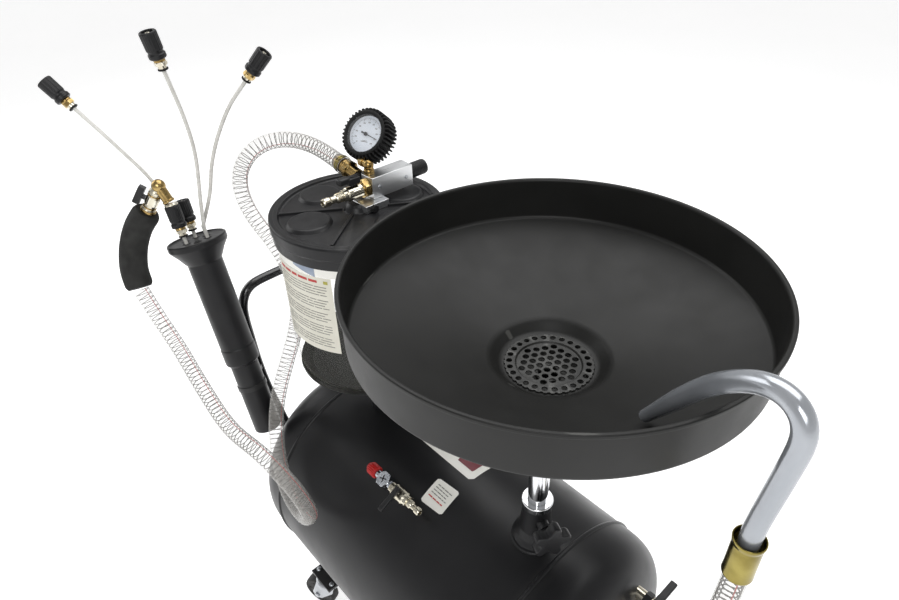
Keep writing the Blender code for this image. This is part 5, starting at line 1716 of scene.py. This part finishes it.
# --- Stage ------------------------------------------------------------------------------------


def cove(name, section, material):
    """Part of the studio: a section of (radius, height) turned round the machine."""
    bm = bmesh.new()
    add_lathe(bm, section, 96)
    mesh = bpy.data.meshes.new(name)
    bm.to_mesh(mesh)
    bm.free()
    mesh.shade_smooth()
    mesh.materials.append(material)
    made = bpy.data.objects.new(name, mesh)
    bpy.context.collection.objects.link(made)
    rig.stage(made)


def glow(name, low, high, power):
    """A pale matt finish that gives off some light of its own."""
    made, nodes, links, shader = new_material(name)
    drift = noise_node(nodes, links, 1.5, 3.0)
    grey = mixed(nodes, links, drift.outputs["Fac"], (low, low, low), (high, high, high))
    links.new(grey, shader.inputs["Base Color"])
    shader.inputs["Roughness"].default_value = 0.8
    shader.inputs["Emission Color"].default_value = (1, 1, 1, 1)
    shader.inputs["Emission Strength"].default_value = power
    return made


def stage():
    """A bright floor with a dimmer wall round it, under a grey sky with soft boxes."""
    cove("floor", [(0, 0), (4.0, 0), (8.0, 0.0), (9.6, 0.25), (9.6, 0.20), (8.0, -0.1), (0, -0.1)],
         glow("studio floor", 0.80, 0.86, 0.58))
    cove("wall", [(9.6, 0.25), (10.4, 0.9), (10.6, 5.0), (10.8, 5.0), (10.6, 0.9), (9.8, 0.2)],
         glow("studio wall", 0.60, 0.66, 0.22))
    world = bpy.data.worlds.new("studio")
    world.use_nodes = True
    world.node_tree.nodes["Background"].inputs["Color"].default_value = (1, 1, 1, 1)
    world.node_tree.nodes["Background"].inputs["Strength"].default_value = 0.36
    bpy.context.scene.world = world
    bpy.context.scene.view_settings.view_transform = "Standard"
    for name, at, aim, size, power in (
        ("over", (-0.3, 0.9, 3.2), (0, 0, 0.5), (3.4, 2.2), 62),
        ("key", (2.4, -2.4, 3.0), (0, 0, 0.5), (2.2, 1.6), 52),
        ("fill", (-3.0, -1.0, 2.2), (-0.1, 0, 0.6), (1.8, 1.8), 26),
    ):
        lamp = bpy.data.lights.new(name, "AREA")
        lamp.shape = "RECTANGLE"
        lamp.size, lamp.size_y = size
        lamp.energy = power
        made = bpy.data.objects.new(name, lamp)
        made.matrix_world = frame_at(at, Vector(at) - Vector(aim))
        bpy.context.collection.objects.link(made)


CAMERA_AT = Vector((0.5656, -0.4728, 1.3725))
CAMERA_DEGREES = (48.7424, 35.0534, -1.7545)  # azimuth, pitch down, roll
SENSOR_MM, LENS_MM = 36.0, 25.878


def camera():
    azimuth, pitch, roll = (math.radians(angle) for angle in CAMERA_DEGREES)
    ahead = Vector((-math.sin(azimuth) * math.cos(pitch), math.cos(azimuth) * math.cos(pitch),
                    -math.sin(pitch)))
    level = Vector((math.cos(azimuth), math.sin(azimuth), 0))
    above = level.cross(ahead)
    right = math.cos(roll) * level + math.sin(roll) * above
    top = -math.sin(roll) * level + math.cos(roll) * above
    lens = bpy.data.cameras.new("photo")
    lens.sensor_width = SENSOR_MM
    lens.lens = LENS_MM
    lens.clip_start = 0.01
    made = bpy.data.objects.new("photo", lens)
    bpy.context.collection.objects.link(made)
    turn = Matrix((right, top, -ahead)).transposed().to_4x4()
    made.matrix_world = Matrix.Translation(CAMERA_AT + AT) @ turn
    bpy.context.scene.camera = made


tank()
tank_labels()
mast()
star_knob()
pan()
strainer()
hook()
hoses()
fittings()
outlet()
chamber()
jar_label()
lid()
ejector()
gauge()
handle()
holder()
clamp()
probes()
grip()
grip_valve()
casters()
stage()
camera()

bpy.context.view_layer.update()
with open("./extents.json", "w") as out:
    boxes = {"cad": cad_box, "visual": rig.bounds()}
    plain = {name: [[float(x) for x in corner] for corner in ends] for name, ends in boxes.items()}
    json.dump(plain, out)
